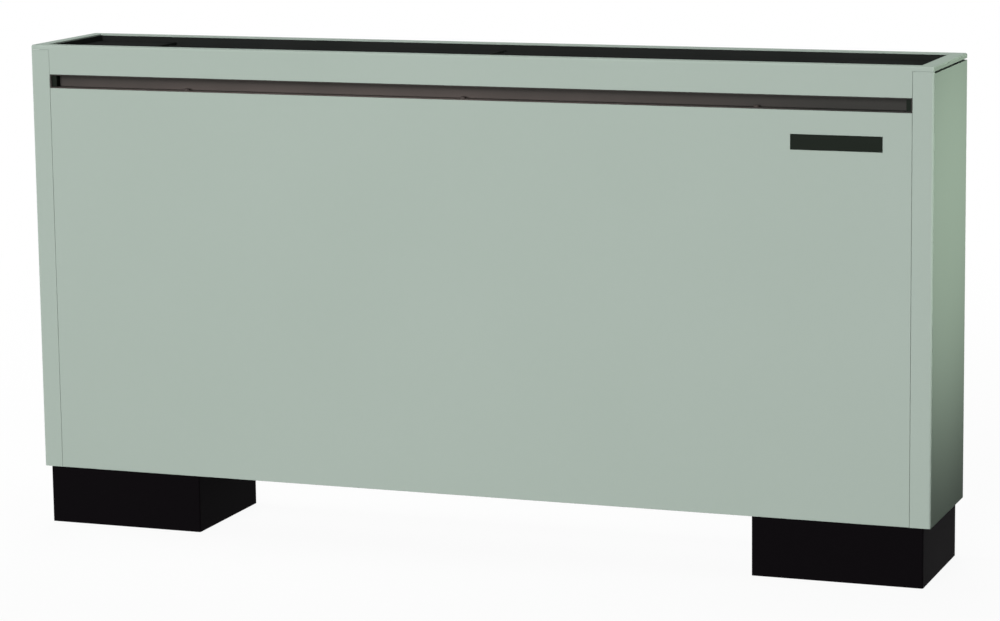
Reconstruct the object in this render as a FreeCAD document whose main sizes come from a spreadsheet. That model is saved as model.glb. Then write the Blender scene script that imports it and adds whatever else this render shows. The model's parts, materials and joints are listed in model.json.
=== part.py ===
import FreeCAD, Part
import math
import operator
import os
import Sketcher

# Floor console air conditioner: a painted steel cabinet on two plinth feet, with a louvred outlet
# along its top, a filter in its open floor, and two fans that blow up through a leaning coil.
# Lengths are millimetres and angles are degrees. The origin is on the floor under the middle of
# the cabinet, X runs to the right as the front is faced, Y to the back and Z up.

SIZES = {
    # cabinet
    "cabinet_width": 1200,
    "cabinet_depth": 180,
    "body_height": 560,
    "panel_sheet": 1.2,
    "panel_seam": 0.3,
    "bend_radius": 3,
    "panel_edge_radius": 0.5,
    "side_flange": 26,
    "side_lip": 12,
    "side_rear_flange": 18,
    "side_foot_flange": 28,
    "cap_rim": 6,
    "cap_edge_radius": 2.2,
    "cap_gap": 2.5,
    "front_apron": 38,
    "slot_height": 18,
    "panel_fold": 14,
    "trim_wall": 1.5,
    "trim_setback": 1,
    "name_plate_width": 114,
    "name_plate_height": 19,
    "name_plate_thickness": 1.2,
    "name_plate_side": 62,
    "name_plate_drop": 85,
    "stiffener_width": 40,
    "stiffener_depth": 11,
    "stiffener_sheet": 0.8,
    "stiffener_spacing": 560,
    "stiffener_end_gap": 24,
    "panel_screw_spacing": 380,
    "panel_screw_radius": 1.9,
    "panel_screw_head_radius": 3.6,
    "panel_screw_head": 2.2,
    "panel_screw_length": 9,
    # feet
    "foot_height": 75,
    "foot_width": 216,
    "foot_depth": 176,
    "foot_inset": 9,
    "foot_setback": 1,
    "foot_wall": 2.5,
    "foot_corner_radius": 2.4,
    "foot_boss_radius": 9,
    "foot_boss_height": 14,
    "foot_bolt_radius": 4,
    "foot_bolt_length": 16,
    "foot_bolt_head_radius": 7.5,
    "foot_bolt_head": 5.3,
    # outlet grille, its louvres and lids
    "outlet_end_margin": 18,
    "outlet_front_margin": 14,
    "outlet_back_margin": 18,
    "outlet_recess": 8,
    "outlet_lip": 8,
    "grille_clearance": 0.5,
    "grille_wall": 4,
    "grille_height": 27,
    "grille_upstand": 6.5,
    "grille_bar": 6,
    "grille_divider": 4,
    "end_bay": 130,
    "louvre_chord": 22,
    "louvre_thickness": 3,
    "louvre_edge": 1,
    "louvre_drop": 12,
    "louvre_side_gap": 1,
    "pivot_radius": 2,
    "pivot_clearance": 0.05,
    "crank_throw": 9,
    "crank_pin_radius": 1.5,
    "crank_clearance": 0.4,
    "link_thickness": 3,
    "link_height": 9,
    "link_gap": 1,
    "link_end": 5,
    "link_shelf": 2,
    "slide_clearance": 0.3,
    "lid_thickness": 3,
    "lid_clearance": 0.6,
    "lid_hinge_inset": 6,
    "lid_tail": 4,
    "lid_pin_radius": 1.6,
    "lid_pin_length": 3,
    "lid_ledge": 4,
    "lid_notch_radius": 11,
    # controls under the right lid
    "control_drop": 40,
    "control_sheet": 1.5,
    "control_reach": 92,
    "control_fold": 12,
    "knob_spacing": 62,
    "knob_skirt_radius": 18,
    "knob_skirt": 4,
    "knob_grip_radius": 13,
    "knob_top_radius": 11.5,
    "knob_height": 17,
    "knob_edge": 1.5,
    "knob_flute_radius": 3,
    "knob_stem_radius": 3,
    "knob_stem": 9,
    "pointer_width": 2,
    "pointer_rise": 0.8,
    # chassis
    "rear_sheet": 1,
    "rear_top_flange": 14,
    "wall_hole_radius": 4.5,
    "wall_hole_inset": 25,
    "wall_hole_low": 95,
    "wall_hole_high": 75,
    "passage_width": 84,
    "passage_sill": 10,
    "passage_head": 76,
    "passage_gap": 8,
    "frame_sheet": 1.2,
    "frame_flange": 16,
    "chassis_gap": 0.5,
    "deck_flange": 22,
    # filter and its collar in the base plate
    "intake_foot_gap": 3,
    "intake_front_margin": 24,
    "intake_back_margin": 10,
    "intake_collar": 18,
    "intake_stop": 6,
    "filter_side_gap": 0.6,
    "filter_end_gap": 3,
    "filter_rise": 1.5,
    "filter_height": 12,
    "filter_border": 12,
    "filter_rib": 4,
    "filter_rib_height": 7,
    "filter_mesh_height": 4,
    "filter_tab_width": 40,
    "filter_tab_thickness": 3,
    "filter_tab_drop": 6,
    "filter_tab_spacing": 400,
    "filter_spring_width": 24,
    "filter_spring_sheet": 0.6,
    # fans and motor
    "scroll_front_gap": 2.3,
    "scroll_back_gap": 10.1,
    "fan_axis_rise": 115,
    "deck_rise": 95,
    "fan_motor_space": 38.8,
    "fan_end_space": 142.8,
    "wheel_gap": 6,
    "wheel_ring_width": 4,
    "wheel_ring_thickness": 5,
    "wheel_disc": 2.5,
    "wheel_hub_radius": 13,
    "wheel_hub_length": 28,
    "fan_blade_depth": 11,
    "fan_blade_thickness": 1,
    "shaft_radius": 6,
    "press_clearance": 0.02,
    "bearing_clearance": 0.04,
    "scroll_step": 5,
    "scroll_wall": 1.2,
    "scroll_side_gap": 6,
    "inlet_inset": 16,
    "inlet_lip": 4,
    "motor_radius": 48,
    "motor_length": 116,
    "motor_bell_radius": 38,
    "motor_bell_length": 14,
    "motor_boss_radius": 17,
    "motor_boss_length": 12,
    "motor_bore": 8,
    "motor_edge": 4,
    "motor_rib": 2,
    "bearing_radius": 12,
    "bearing_length": 9,
    "ring_radius": 26,
    "ring_length": 10,
    "cradle_sheet": 2.5,
    "cradle_half_width": 36,
    "hanger_offset": 30,
    "hanger_half_width": 22,
    "hanger_foot": 22,
    "outboard_radius": 14,
    "outboard_length": 12,
    "shaft_overhang": 12,
    # coil and drain
    "coil_side_space": 40.6,
    "coil_front_shift": 4.9,
    "coil_foot": 52.5,
    "coil_head": 88.6,
    "row_pitch": 27.5,
    "tube_radius": 6.35,
    "fin_thickness": 1.6,
    "fin_reach": 4,
    "coil_plate": 1.5,
    "coil_plate_margin": 8,
    "bend_stub": 4,
    "header_radius": 11,
    "supply_header_offset": 28,
    "return_header_offset": 60,
    "header_tail": 14,
    "header_port_rise": 17,
    "port_radius": 15,
    "port_inset": 14,
    "port_bore": 9.3,
    "port_depth": 15,
    "vent_radius": 6,
    "vent_height": 9,
    "vent_stem_radius": 2.5,
    "vent_stem": 8,
    "pan_wall": 2,
    "pan_height": 30,
    "pan_depth": 67,
    "pan_floor": 4,
    "pan_bay_reach": 90,
    "pan_clearance": 0.5,
    "spout_radius": 9,
    "spout_bore": 7,
    "spout_length": 40,
    "spout_rise": 12,
    "spout_offset": 45,
    # electrics in the right end bay
    "terminal_box_depth": 74,
    "terminal_box_width": 100,
    "terminal_box_height": 122,
    "terminal_box_rise": 105,
    "terminal_box_setback": 40,
    "terminal_box_sheet": 1.2,
    "cover_rim": 10,
    "terminal_width": 70,
    "terminal_depth": 22,
    "terminal_height": 26,
    "terminal_gap": 30,
    "terminal_slot": 3,
    "capacitor_radius": 17,
    "capacitor_height": 58,
    "capacitor_edge": 3,
    "capacitor_stud_radius": 4,
    "gland_radius": 8,
    "gland_bore": 5,
    "gland_nut_radius": 13,
    "gland_nut": 6,
    "gland_dome": 10,
    # one overrun serves every cut that passes right through
    "overrun": 2,
}

ANGLES = {"louvre_swing": 40, "fan_blade_lean": 3, "fan_blade_curl": 11}

COUNTS = {
    "louvre_count": 6,
    "fan_blade_count": 30,
    "knob_flute_count": 12,
    "tube_count": 6,
    "fin_count": 52,
    "filter_rib_count": 7,
    "terminal_count": 6,
}

doc = FreeCAD.newDocument("FloorConsole")
sheet = doc.addObject("Spreadsheet::Sheet", "Sizes")
for row, (alias, number) in enumerate({**SIZES, **ANGLES, **COUNTS}.items(), 1):
    sheet.set(f"A{row}", alias)
    sheet.set(f"B{row}", str(number))
    sheet.setAlias(f"B{row}", alias)
doc.recompute()


class Size:
    """A number with its formula in the sheet, so that whatever is worked out from it stays driven."""

    def __init__(self, formula, value):
        self.formula = formula
        self.value = value

    def __add__(self, other):
        return joined(self, "+", other)

    def __radd__(self, other):
        return joined(other, "+", self)

    def __sub__(self, other):
        return joined(self, "-", other)

    def __rsub__(self, other):
        return joined(other, "-", self)

    def __mul__(self, other):
        return joined(self, "*", other)

    def __rmul__(self, other):
        return joined(other, "*", self)

    def __truediv__(self, other):
        return joined(self, "/", other)

    def __neg__(self):
        return joined(0, "-", self)


SIGNS = {"+": operator.add, "-": operator.sub, "*": operator.mul, "/": operator.truediv}


def sized(number):
    return number if isinstance(number, Size) else Size(str(number), number)


def joined(left, sign, right):
    left = sized(left)
    right = sized(right)
    return Size(f"({left.formula} {sign} {right.formula})", SIGNS[sign](left.value, right.value))


def sine(angle):
    return Size(f"sin({angle.formula} * 1 deg)", math.sin(math.radians(angle.value)))


def cosine(angle):
    return Size(f"cos({angle.formula} * 1 deg)", math.cos(math.radians(angle.value)))


def slope(run, rise):
    """Angle in degrees of a line that leans by run over rise."""
    ratio = run / rise
    return Size(f"(atan({ratio.formula}) / 1 deg)", math.degrees(math.atan(ratio.value)))


class Driven:
    """The sheet's sizes by name."""


dim = Driven()
for alias in {**SIZES, **ANGLES, **COUNTS}:
    setattr(dim, alias, Size(f"Sizes.{alias}", float(sheet.get(alias))))

X_AXIS = FreeCAD.Vector(1, 0, 0)
Y_AXIS = FreeCAD.Vector(0, 1, 0)
Z_AXIS = FreeCAD.Vector(0, 0, 1)
TURNS = {
    "x": FreeCAD.Rotation(Y_AXIS, 90),
    "y": FreeCAD.Rotation(X_AXIS, -90),
    "z": FreeCAD.Rotation(),
}


def tie(thing, name, size):
    thing.setExpression(name, sized(size).formula)


def place(thing, x, y, z, turn=None):
    """Stand a thing at a driven point, turned first if it needs to be."""
    if turn:
        thing.Placement = FreeCAD.Placement(FreeCAD.Vector(), turn)
    for name, size in zip("xyz", (x, y, z)):
        tie(thing, f"Placement.Base.{name}", size)
    return thing


def new_body(label):
    return doc.addObject("PartDesign::Body", label)


def block(owner, kind, x, y, z):
    """A rectangular block between two corners, given as low and high values along X, Y and Z."""
    thing = owner.newObject(f"PartDesign::{kind}Box", f"{owner.Name}_block")
    for name, span in zip(("Length", "Width", "Height"), (x, y, z)):
        tie(thing, name, span[1] - span[0])
    return place(thing, x[0], y[0], z[0])


def add_block(owner, x, y, z):
    return block(owner, "Additive", x, y, z)


def cut_block(owner, x, y, z):
    return block(owner, "Subtractive", x, y, z)


def round_bar(owner, kind, along, radius, span, centre):
    """A cylinder along one axis over a span, round a centre given on the two other axes."""
    thing = owner.newObject(f"PartDesign::{kind}Cylinder", f"{owner.Name}_round")
    tie(thing, "Radius", radius)
    tie(thing, "Height", span[1] - span[0])
    point = list(centre)
    point.insert("xyz".index(along), span[0])
    return place(thing, *point, TURNS[along])


def add_round(owner, along, radius, span, centre):
    return round_bar(owner, "Additive", along, radius, span, centre)


def cut_round(owner, along, radius, span, centre):
    return round_bar(owner, "Subtractive", along, radius, span, centre)


def sketch_on(owner, role, height=0):
    """A sketch on one of the body's own planes, lifted along that plane's normal."""
    sketch = owner.newObject("Sketcher::SketchObject", f"{owner.Name}_outline")
    plane = [feature for feature in owner.Origin.OriginFeatures if feature.Role == role][0]
    sketch.AttachmentSupport = (plane, [""])
    sketch.MapMode = "FlatFace"
    tie(sketch, "AttachmentOffset.Base.z", height)
    return sketch


def hold(sketch, line, point, across, up):
    """Keep a sketch point at driven distances from the sketch's origin."""
    for kind, size in (("DistanceX", sized(across)), ("DistanceY", sized(up))):
        number = sketch.addConstraint(Sketcher.Constraint(kind, -1, 1, line, point, size.value))
        sketch.setExpression(f"Constraints[{number}]", size.formula)


def polygon(sketch, corners):
    """A closed outline of straight lines through driven corners."""
    corners = [(sized(across), sized(up)) for across, up in corners]
    points = [FreeCAD.Vector(across.value, up.value, 0) for across, up in corners]
    lines = [
        sketch.addGeometry(Part.LineSegment(points[i], points[(i + 1) % len(points)]))
        for i in range(len(points))
    ]
    for i, line in enumerate(lines):
        sketch.addConstraint(Sketcher.Constraint("Coincident", line, 2, lines[(i + 1) % len(lines)], 1))
    for line, (across, up) in zip(lines, corners):
        hold(sketch, line, 1, across, up)


def rectangle(sketch, across, up):
    """A driven rectangle, given as low and high values across and up."""
    polygon(sketch, [(across[0], up[0]), (across[1], up[0]), (across[1], up[1]), (across[0], up[1])])


def ring(sketch, radius, across=0, up=0):
    """A driven circle."""
    centre = FreeCAD.Vector(sized(across).value, sized(up).value, 0)
    circle = sketch.addGeometry(Part.Circle(centre, Z_AXIS, radius.value))
    hold(sketch, circle, 3, across, up)
    number = sketch.addConstraint(Sketcher.Constraint("Radius", circle, radius.value))
    sketch.setExpression(f"Constraints[{number}]", radius.formula)


def pad(owner, sketch, length):
    feature = owner.newObject("PartDesign::Pad", f"{owner.Name}_pad")
    feature.Profile = sketch
    tie(feature, "Length", length)
    return feature


def pocket(owner, sketch, length, ahead=False):
    """Cut a sketch's outline out of the body, ahead of the sketch or, as usual, behind it."""
    doc.recompute()
    before = owner.Shape.Volume
    feature = owner.newObject("PartDesign::Pocket", f"{owner.Name}_pocket")
    feature.Profile = sketch
    feature.Reversed = ahead
    tie(feature, "Length", length)
    doc.recompute()
    if owner.Shape.Volume >= before:
        raise ValueError(f"{owner.Label}: a pocket cuts nothing")
    return feature


def revolve(owner, sketch, axis):
    feature = owner.newObject("PartDesign::Revolution", f"{owner.Name}_revolution")
    feature.Profile = sketch
    feature.ReferenceAxis = (sketch, [axis])
    feature.Angle = 360
    return feature


def polar(owner, feature, role, count):
    """Repeat a feature round one of the body's own axes."""
    pattern = owner.newObject("PartDesign::PolarPattern", f"{owner.Name}_pattern")
    axis = [item for item in owner.Origin.OriginFeatures if item.Role == role][0]
    pattern.Originals = [feature]
    pattern.Axis = (axis, [""])
    pattern.Angle = 360
    tie(pattern, "Occurrences", count)
    owner.Tip = pattern
    return pattern


def row_of(owner, feature, role, length, count):
    """Repeat a feature along one of the body's own axes."""
    pattern = owner.newObject("PartDesign::LinearPattern", f"{owner.Name}_row")
    axis = [item for item in owner.Origin.OriginFeatures if item.Role == role][0]
    pattern.Originals = [feature]
    pattern.Direction = (axis, [""])
    tie(pattern, "Length", length)
    tie(pattern, "Occurrences", count)
    owner.Tip = pattern
    return pattern


def near(value, size):
    return abs(value - size.value) < dim.panel_seam.value / 2


def fillet(owner, radius, chosen):
    """Round the edges whose middle point the test picks out."""
    doc.recompute()
    names = [
        f"Edge{number}"
        for number, edge in enumerate(owner.Shape.Edges, 1)
        if chosen(edge.BoundBox.Center, edge.BoundBox)
    ]
    if not names:
        raise ValueError(f"{owner.Label}: no edge to round")
    rounded = owner.Tip
    feature = owner.newObject("PartDesign::Fillet", f"{owner.Name}_fillet")
    feature.Base = (rounded, names)
    tie(feature, "Radius", radius)
    return feature


def upright(box):
    """True for an edge that stands straight up."""
    return box.XLength + box.YLength < dim.overrun.value / 10


def mirrored(label, source):
    """The same piece on the left side of the cabinet."""
    thing = doc.addObject("Part::Mirroring", label)
    thing.Source = source
    thing.Base = FreeCAD.Vector()
    thing.Normal = X_AXIS
    return thing


def group(label, members):
    """Like pieces that share one name, still as separate solids."""
    thing = doc.addObject("Part::Compound", label)
    thing.Links = members
    return thing


def both(centre, half):
    """The low and high value that lie half a width either side of a centre."""
    return (centre - half, centre + half)


# Planes and levels that several pieces share
half_width = dim.cabinet_width / 2
front = -dim.cabinet_depth / 2
back = dim.cabinet_depth / 2
base = dim.foot_height
top = dim.foot_height + dim.body_height
slot_top = top - dim.front_apron
slot_floor = slot_top - dim.slot_height
panel_half = half_width - dim.side_flange - dim.panel_seam
fold_back = front + dim.panel_fold
rear_back = back - dim.panel_sheet
rear_front = rear_back - dim.rear_sheet
inside_half = half_width - dim.panel_sheet
chassis_front = fold_back + dim.trim_wall + dim.chassis_gap
base_top = base + dim.frame_sheet
outlet_half = half_width - dim.outlet_end_margin
outlet_front = front + dim.outlet_front_margin
outlet_rear = back - dim.outlet_back_margin
grille_half = outlet_half - dim.grille_clearance
grille_front = outlet_front + dim.grille_clearance
grille_rear = outlet_rear - dim.grille_clearance
grille_top = top - dim.outlet_recess
grille_floor = grille_top - dim.grille_height
window_front = grille_front + dim.grille_wall
window_rear = grille_rear - dim.grille_wall
air_half = half_width - dim.end_bay
bar_inside = air_half - dim.grille_bar / 2
bar_outside = air_half + dim.grille_bar / 2
lid_end = grille_half - dim.grille_wall
frame_outside = air_half + dim.frame_sheet
chassis_depth = rear_front - chassis_front
scroll_room = chassis_depth - dim.scroll_front_gap - dim.scroll_back_gap
scroll_radius = (scroll_room - 3 * dim.scroll_step - 2 * dim.scroll_wall) / 2
wheel_radius = scroll_radius - dim.wheel_gap
scroll_front = chassis_front + dim.scroll_front_gap
axis_y = scroll_front + dim.scroll_wall + scroll_radius + dim.scroll_step / 2
axis_z = base + dim.fan_axis_rise
deck_floor = axis_z + dim.deck_rise
deck_top = deck_floor + dim.frame_sheet
boss_start = dim.motor_length / 2 + dim.motor_bell_length
boss_end = boss_start + dim.motor_boss_length
scroll_inner = boss_end + dim.fan_motor_space
scroll_outer = air_half - dim.fan_end_space
fan_x = (scroll_inner + scroll_outer) / 2
wheel_length = scroll_outer - scroll_inner - 2 * (dim.scroll_side_gap + dim.scroll_wall)
intake_half = half_width - dim.foot_inset - dim.foot_width - dim.intake_foot_gap
coil_y = (chassis_front + rear_front) / 2 - dim.coil_front_shift
coil_run = chassis_depth / 2 - dim.coil_side_space
coil_rise = (grille_floor - dim.coil_head - deck_top - dim.coil_foot) / 2
coil_z = deck_top + dim.coil_foot + coil_rise
coil_tilt = slope(coil_run, coil_rise)
coil_half_height = coil_rise / cosine(coil_tilt)
tube_pitch = 2 * coil_half_height / dim.tube_count
coil_lean = FreeCAD.Rotation(X_AXIS, -coil_tilt.value)


# Cabinet panels


def side_panel():
    """Right cheek: one sheet that wraps round the front in a flange and a lip, and round the back."""
    owner = new_body("right_side_panel")
    flange = half_width - dim.side_flange
    rear_flange = half_width - dim.side_rear_flange
    inner_front = front + dim.panel_sheet
    lip_back = front + dim.side_lip
    outline = sketch_on(owner, "XY_Plane", base)
    polygon(
        outline,
        [
            (half_width, front),
            (half_width, back),
            (rear_flange, back),
            (rear_flange, rear_back),
            (inside_half, rear_back),
            (inside_half, inner_front),
            (flange + dim.panel_sheet, inner_front),
            (flange + dim.panel_sheet, lip_back),
            (flange, lip_back),
            (flange, front),
        ],
    )
    pad(owner, outline, dim.body_height - dim.cap_rim - dim.panel_seam)
    fillet(
        owner,
        dim.bend_radius,
        lambda point, box: upright(box) and near(point.x, half_width),
    )
    inner_bend = dim.bend_radius - dim.panel_sheet
    fillet(
        owner,
        inner_bend,
        lambda point, box: upright(box) and near(point.x, inside_half),
    )
    fillet(
        owner,
        dim.panel_edge_radius,
        lambda point, box: upright(box) and near(point.x, flange) and near(point.y, front),
    )
    # the side stands lower than the front flange, which leaves the dark line under the cap
    cut_block(
        owner,
        (inside_half - dim.bend_radius, half_width + dim.overrun),
        (front + dim.bend_radius, back + dim.overrun),
        (top - dim.cap_rim - dim.cap_gap, top),
    )
    add_block(
        owner,
        (half_width - dim.side_foot_flange, inside_half),
        (fold_back, rear_back - dim.bend_radius),
        (base_top, base_top + dim.panel_sheet),
    )
    return owner


def front_panel():
    """Folded tray that closes the front below the slot."""
    owner = new_body("front_panel")
    add_block(owner, both(0, panel_half), (front, fold_back), (base, slot_floor))
    fillet(owner, dim.panel_edge_radius, lambda point, box: near(point.y, front))
    cut_block(
        owner,
        both(0, panel_half - dim.panel_sheet),
        (front + dim.panel_sheet, fold_back + dim.overrun),
        (base + dim.panel_sheet, slot_floor - dim.panel_sheet),
    )
    for screw_x in (-dim.panel_screw_spacing, 0, dim.panel_screw_spacing):
        cut_round(
            owner,
            "z",
            dim.panel_screw_radius,
            (slot_floor - dim.panel_screw_length, slot_floor + dim.overrun),
            (screw_x, (front + fold_back) / 2),
        )
    return owner


def stiffener(side):
    """Hat channel spot-welded upright to the inside of the front panel."""
    owner = new_body("stiffener")
    inner = front + dim.panel_sheet
    crown = inner + dim.stiffener_depth
    brim = inner + dim.stiffener_sheet
    quarter = dim.stiffener_width / 4
    half = dim.stiffener_width / 2
    middle = side * dim.stiffener_spacing / 2
    outline = sketch_on(owner, "XY_Plane", base + dim.stiffener_end_gap)
    polygon(
        outline,
        [
            (middle - half, inner),
            (middle - quarter + dim.stiffener_sheet, inner),
            (middle - quarter + dim.stiffener_sheet, crown - dim.stiffener_sheet),
            (middle + quarter - dim.stiffener_sheet, crown - dim.stiffener_sheet),
            (middle + quarter - dim.stiffener_sheet, inner),
            (middle + half, inner),
            (middle + half, brim),
            (middle + quarter, brim),
            (middle + quarter, crown),
            (middle - quarter, crown),
            (middle - quarter, brim),
            (middle - half, brim),
        ],
    )
    pad(owner, outline, slot_floor - base - 2 * dim.stiffener_end_gap)
    return owner


def top_panel():
    """Cap with the outlet opening, a collar and lip that carry the grille, and the front apron."""
    owner = new_body("top_panel")
    sheet_floor = top - dim.panel_sheet
    rim_floor = top - dim.cap_rim
    collar_floor = grille_floor - dim.panel_sheet
    add_block(owner, both(0, half_width), (front, back), (rim_floor, top))
    fillet(owner, dim.bend_radius, lambda point, box: upright(box))
    fillet(owner, dim.cap_edge_radius, lambda point, box: near(point.z, top))
    cut_block(
        owner,
        both(0, inside_half),
        (front + dim.panel_sheet, rear_back),
        (rim_floor - dim.overrun, sheet_floor),
    )
    add_block(
        owner,
        both(0, outlet_half + dim.panel_sheet),
        (outlet_front - dim.panel_sheet, outlet_rear + dim.panel_sheet),
        (collar_floor, sheet_floor),
    )
    cut_block(
        owner, both(0, outlet_half), (outlet_front, outlet_rear), (grille_floor, top + dim.overrun)
    )
    cut_block(
        owner,
        both(0, outlet_half - dim.outlet_lip),
        (outlet_front + dim.outlet_lip, outlet_rear - dim.outlet_lip),
        (collar_floor - dim.overrun, top),
    )
    sheet_front = (front, front + dim.panel_sheet)
    add_block(owner, both(0, panel_half), sheet_front, (slot_top, top - dim.bend_radius))
    add_block(owner, both(0, panel_half), (front, fold_back), (slot_top, slot_top + dim.panel_sheet))
    fillet(
        owner,
        dim.panel_edge_radius / 2,
        lambda point, box: near(point.y, front) and near(point.z, slot_top),
    )
    return owner


def slot_trim():
    """Dark moulded tray that lines the long front slot."""
    owner = new_body("slot_trim")
    rear = fold_back + dim.trim_wall
    add_block(owner, both(0, panel_half), (front + dim.trim_setback, rear), (slot_floor, slot_top))
    add_block(
        owner,
        both(0, panel_half),
        (fold_back, rear),
        (slot_floor - dim.panel_sheet, slot_top + dim.panel_sheet),
    )
    cut_block(
        owner,
        both(0, panel_half - dim.trim_wall),
        (front, fold_back),
        (slot_floor + dim.trim_wall, slot_top - dim.trim_wall),
    )
    for screw_x in (-dim.panel_screw_spacing, 0, dim.panel_screw_spacing):
        cut_round(
            owner,
            "z",
            dim.panel_screw_radius,
            (slot_floor - dim.overrun, slot_floor + 2 * dim.trim_wall),
            (screw_x, (front + fold_back) / 2),
        )
    return owner


def panel_screw(side):
    """Pan-head screw that holds the front panel's top fold up to the slot trim."""
    owner = new_body("panel_screw")
    seat = slot_floor + dim.trim_wall
    centre = (side * dim.panel_screw_spacing, (front + fold_back) / 2)
    add_round(owner, "z", dim.panel_screw_head_radius, (seat, seat + dim.panel_screw_head), centre)
    add_round(owner, "z", dim.panel_screw_radius, (seat - dim.panel_screw_length, seat), centre)
    return owner


def name_plate():
    """Bare plate at the upper right of the front panel, with a chamfered rim."""
    owner = new_body("name_plate")
    right = half_width - dim.name_plate_side
    upper = top - dim.name_plate_drop
    face = front - dim.name_plate_thickness
    add_block(
        owner,
        (right - dim.name_plate_width, right),
        (face, front),
        (upper - dim.name_plate_height, upper),
    )
    fillet(owner, dim.name_plate_thickness / 2, lambda point, box: near(point.y, face))
    return owner


# Feet


def foot_bolt_points():
    """Plan positions of the four bolts of the right foot, in the middles of its four cells."""
    left = half_width - dim.foot_inset - dim.foot_width
    near_side = front + dim.foot_setback
    return [
        (left + across * dim.foot_width / 4, near_side + along * dim.foot_depth / 4)
        for across in (1, 3)
        for along in (1, 3)
    ]


def foot():
    """Right plinth foot: a box open below, stiffened by a crossing pair of ribs."""
    owner = new_body("right_foot")
    right = half_width - dim.foot_inset
    left = right - dim.foot_width
    near_side = front + dim.foot_setback
    far_side = near_side + dim.foot_depth
    add_block(owner, (left, right), (near_side, far_side), (0, base))
    fillet(owner, dim.foot_corner_radius, lambda point, box: upright(box))
    wall = dim.foot_wall
    middle_x = (left + right) / 2
    middle_y = (near_side + far_side) / 2
    cells_across = [(left + wall, middle_x - wall / 2), (middle_x + wall / 2, right - wall)]
    cells_along = [(near_side + wall, middle_y - wall / 2), (middle_y + wall / 2, far_side - wall)]
    for across in cells_across:
        for along in cells_along:
            cut_block(owner, across, along, (-dim.overrun, base - wall))
    for point in foot_bolt_points():
        add_round(owner, "z", dim.foot_boss_radius, (base - dim.foot_boss_height, base), point)
    for point in foot_bolt_points():
        depth = dim.foot_boss_height + dim.overrun
        cut_round(owner, "z", dim.foot_bolt_radius, (base - depth, base + dim.overrun), point)
    return owner


def foot_bolts():
    """Hexagon bolts that come down through the base plate into the feet."""
    bolts = []
    for side in (1, -1):
        for across, along in foot_bolt_points():
            owner = new_body("foot_bolt")
            head = owner.newObject("PartDesign::AdditivePrism", "foot_bolt_head")
            head.Polygon = 6
            tie(head, "Circumradius", dim.foot_bolt_head_radius)
            tie(head, "Height", dim.foot_bolt_head)
            place(head, side * across, along, base_top)
            shank = (base_top - dim.foot_bolt_length, base_top)
            add_round(owner, "z", dim.foot_bolt_radius, shank, (side * across, along))
            bolts.append(owner)
    return group("foot_bolts", bolts)


# Outlet grille

louvre_z = grille_top - dim.louvre_drop
row_shares = [(number + 0.5) / COUNTS["louvre_count"] for number in range(COUNTS["louvre_count"])]
louvre_rows = [window_front + (window_rear - window_front) * share for share in row_shares]
hinge_y = window_rear - dim.lid_hinge_inset
hinge_z = grille_top - dim.lid_thickness
lid_floor = grille_top - dim.lid_thickness
link_x = -bar_inside + dim.link_gap
blade_start = link_x + dim.link_thickness + dim.link_gap


def grille_frame():
    """Moulded frame: two louvre bays, a lid window at each end, and an upstand that lines the outlet."""
    owner = new_body("grille_frame")
    half_divider = dim.grille_divider / 2
    window = (window_front, window_rear)
    outline = sketch_on(owner, "XY_Plane", grille_floor)
    rectangle(outline, both(0, grille_half), (grille_front, grille_rear))
    rectangle(outline, (-lid_end, -bar_outside), window)
    rectangle(outline, (-bar_inside, -half_divider), window)
    rectangle(outline, (half_divider, bar_inside), window)
    rectangle(outline, (bar_outside, lid_end), window)
    pad(owner, outline, dim.grille_height)
    upstand = sketch_on(owner, "XY_Plane", grille_top)
    rectangle(upstand, both(0, grille_half), (grille_front, grille_rear))
    rectangle(upstand, both(0, lid_end), window)
    pad(owner, upstand, dim.grille_upstand)
    for lid_span in ((bar_outside, lid_end), (-lid_end, -bar_outside)):
        ledge_top = lid_floor - dim.slide_clearance
        add_block(
            owner,
            lid_span,
            (window_front, window_front + dim.lid_ledge),
            (ledge_top - dim.lid_thickness, ledge_top),
        )
    add_block(
        owner,
        (-bar_inside, blade_start),
        window,
        (grille_floor, grille_floor + dim.link_shelf),
    )
    holes = sketch_on(owner, "YZ_Plane", -bar_outside - dim.overrun)
    for row_y in louvre_rows:
        ring(holes, dim.pivot_radius + dim.pivot_clearance, row_y, louvre_z)
    pocket(owner, holes, 2 * (bar_outside + dim.overrun), ahead=True)
    for side in (1, -1):
        low = bar_outside - dim.lid_pin_length
        high = lid_end + dim.lid_pin_length
        span = (low, high) if side > 0 else (-high, -low)
        cut_round(owner, "x", dim.lid_pin_radius + dim.pivot_clearance, span, (hinge_y, hinge_z))
    return owner


def louvre_section(sketch):
    """Slim lens section of a louvre, thick in the middle and thin at both edges."""
    half_chord = dim.louvre_chord / 2
    half_edge = dim.louvre_edge / 2
    half_thick = dim.louvre_thickness / 2
    polygon(
        sketch,
        [
            (-half_edge, -half_chord),
            (half_edge, -half_chord),
            (half_thick, 0),
            (half_edge, half_chord),
            (-half_edge, half_chord),
            (-half_thick, 0),
        ],
    )


def louvre(number, row_y):
    """Louvre blade in two lengths on one pivot rod, with a crank pin at its left end."""
    owner = new_body(f"louvre_{number}")
    half_divider = dim.grille_divider / 2 + dim.louvre_side_gap
    rod = sketch_on(owner, "YZ_Plane", -bar_outside)
    ring(rod, dim.pivot_radius)
    pad(owner, rod, 2 * bar_outside)
    left_end = blade_start + dim.louvre_side_gap
    right_end = bar_inside - dim.louvre_side_gap
    for start, end in ((left_end, -half_divider), (half_divider, right_end)):
        section = sketch_on(owner, "YZ_Plane", start)
        louvre_section(section)
        pad(owner, section, end - start)
    pin = sketch_on(owner, "YZ_Plane", link_x - dim.link_gap / 2)
    ring(pin, dim.crank_pin_radius, 0, -dim.crank_throw)
    pad(owner, pin, left_end - link_x + dim.link_gap)
    place(owner, 0, row_y, louvre_z)
    return owner


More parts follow.
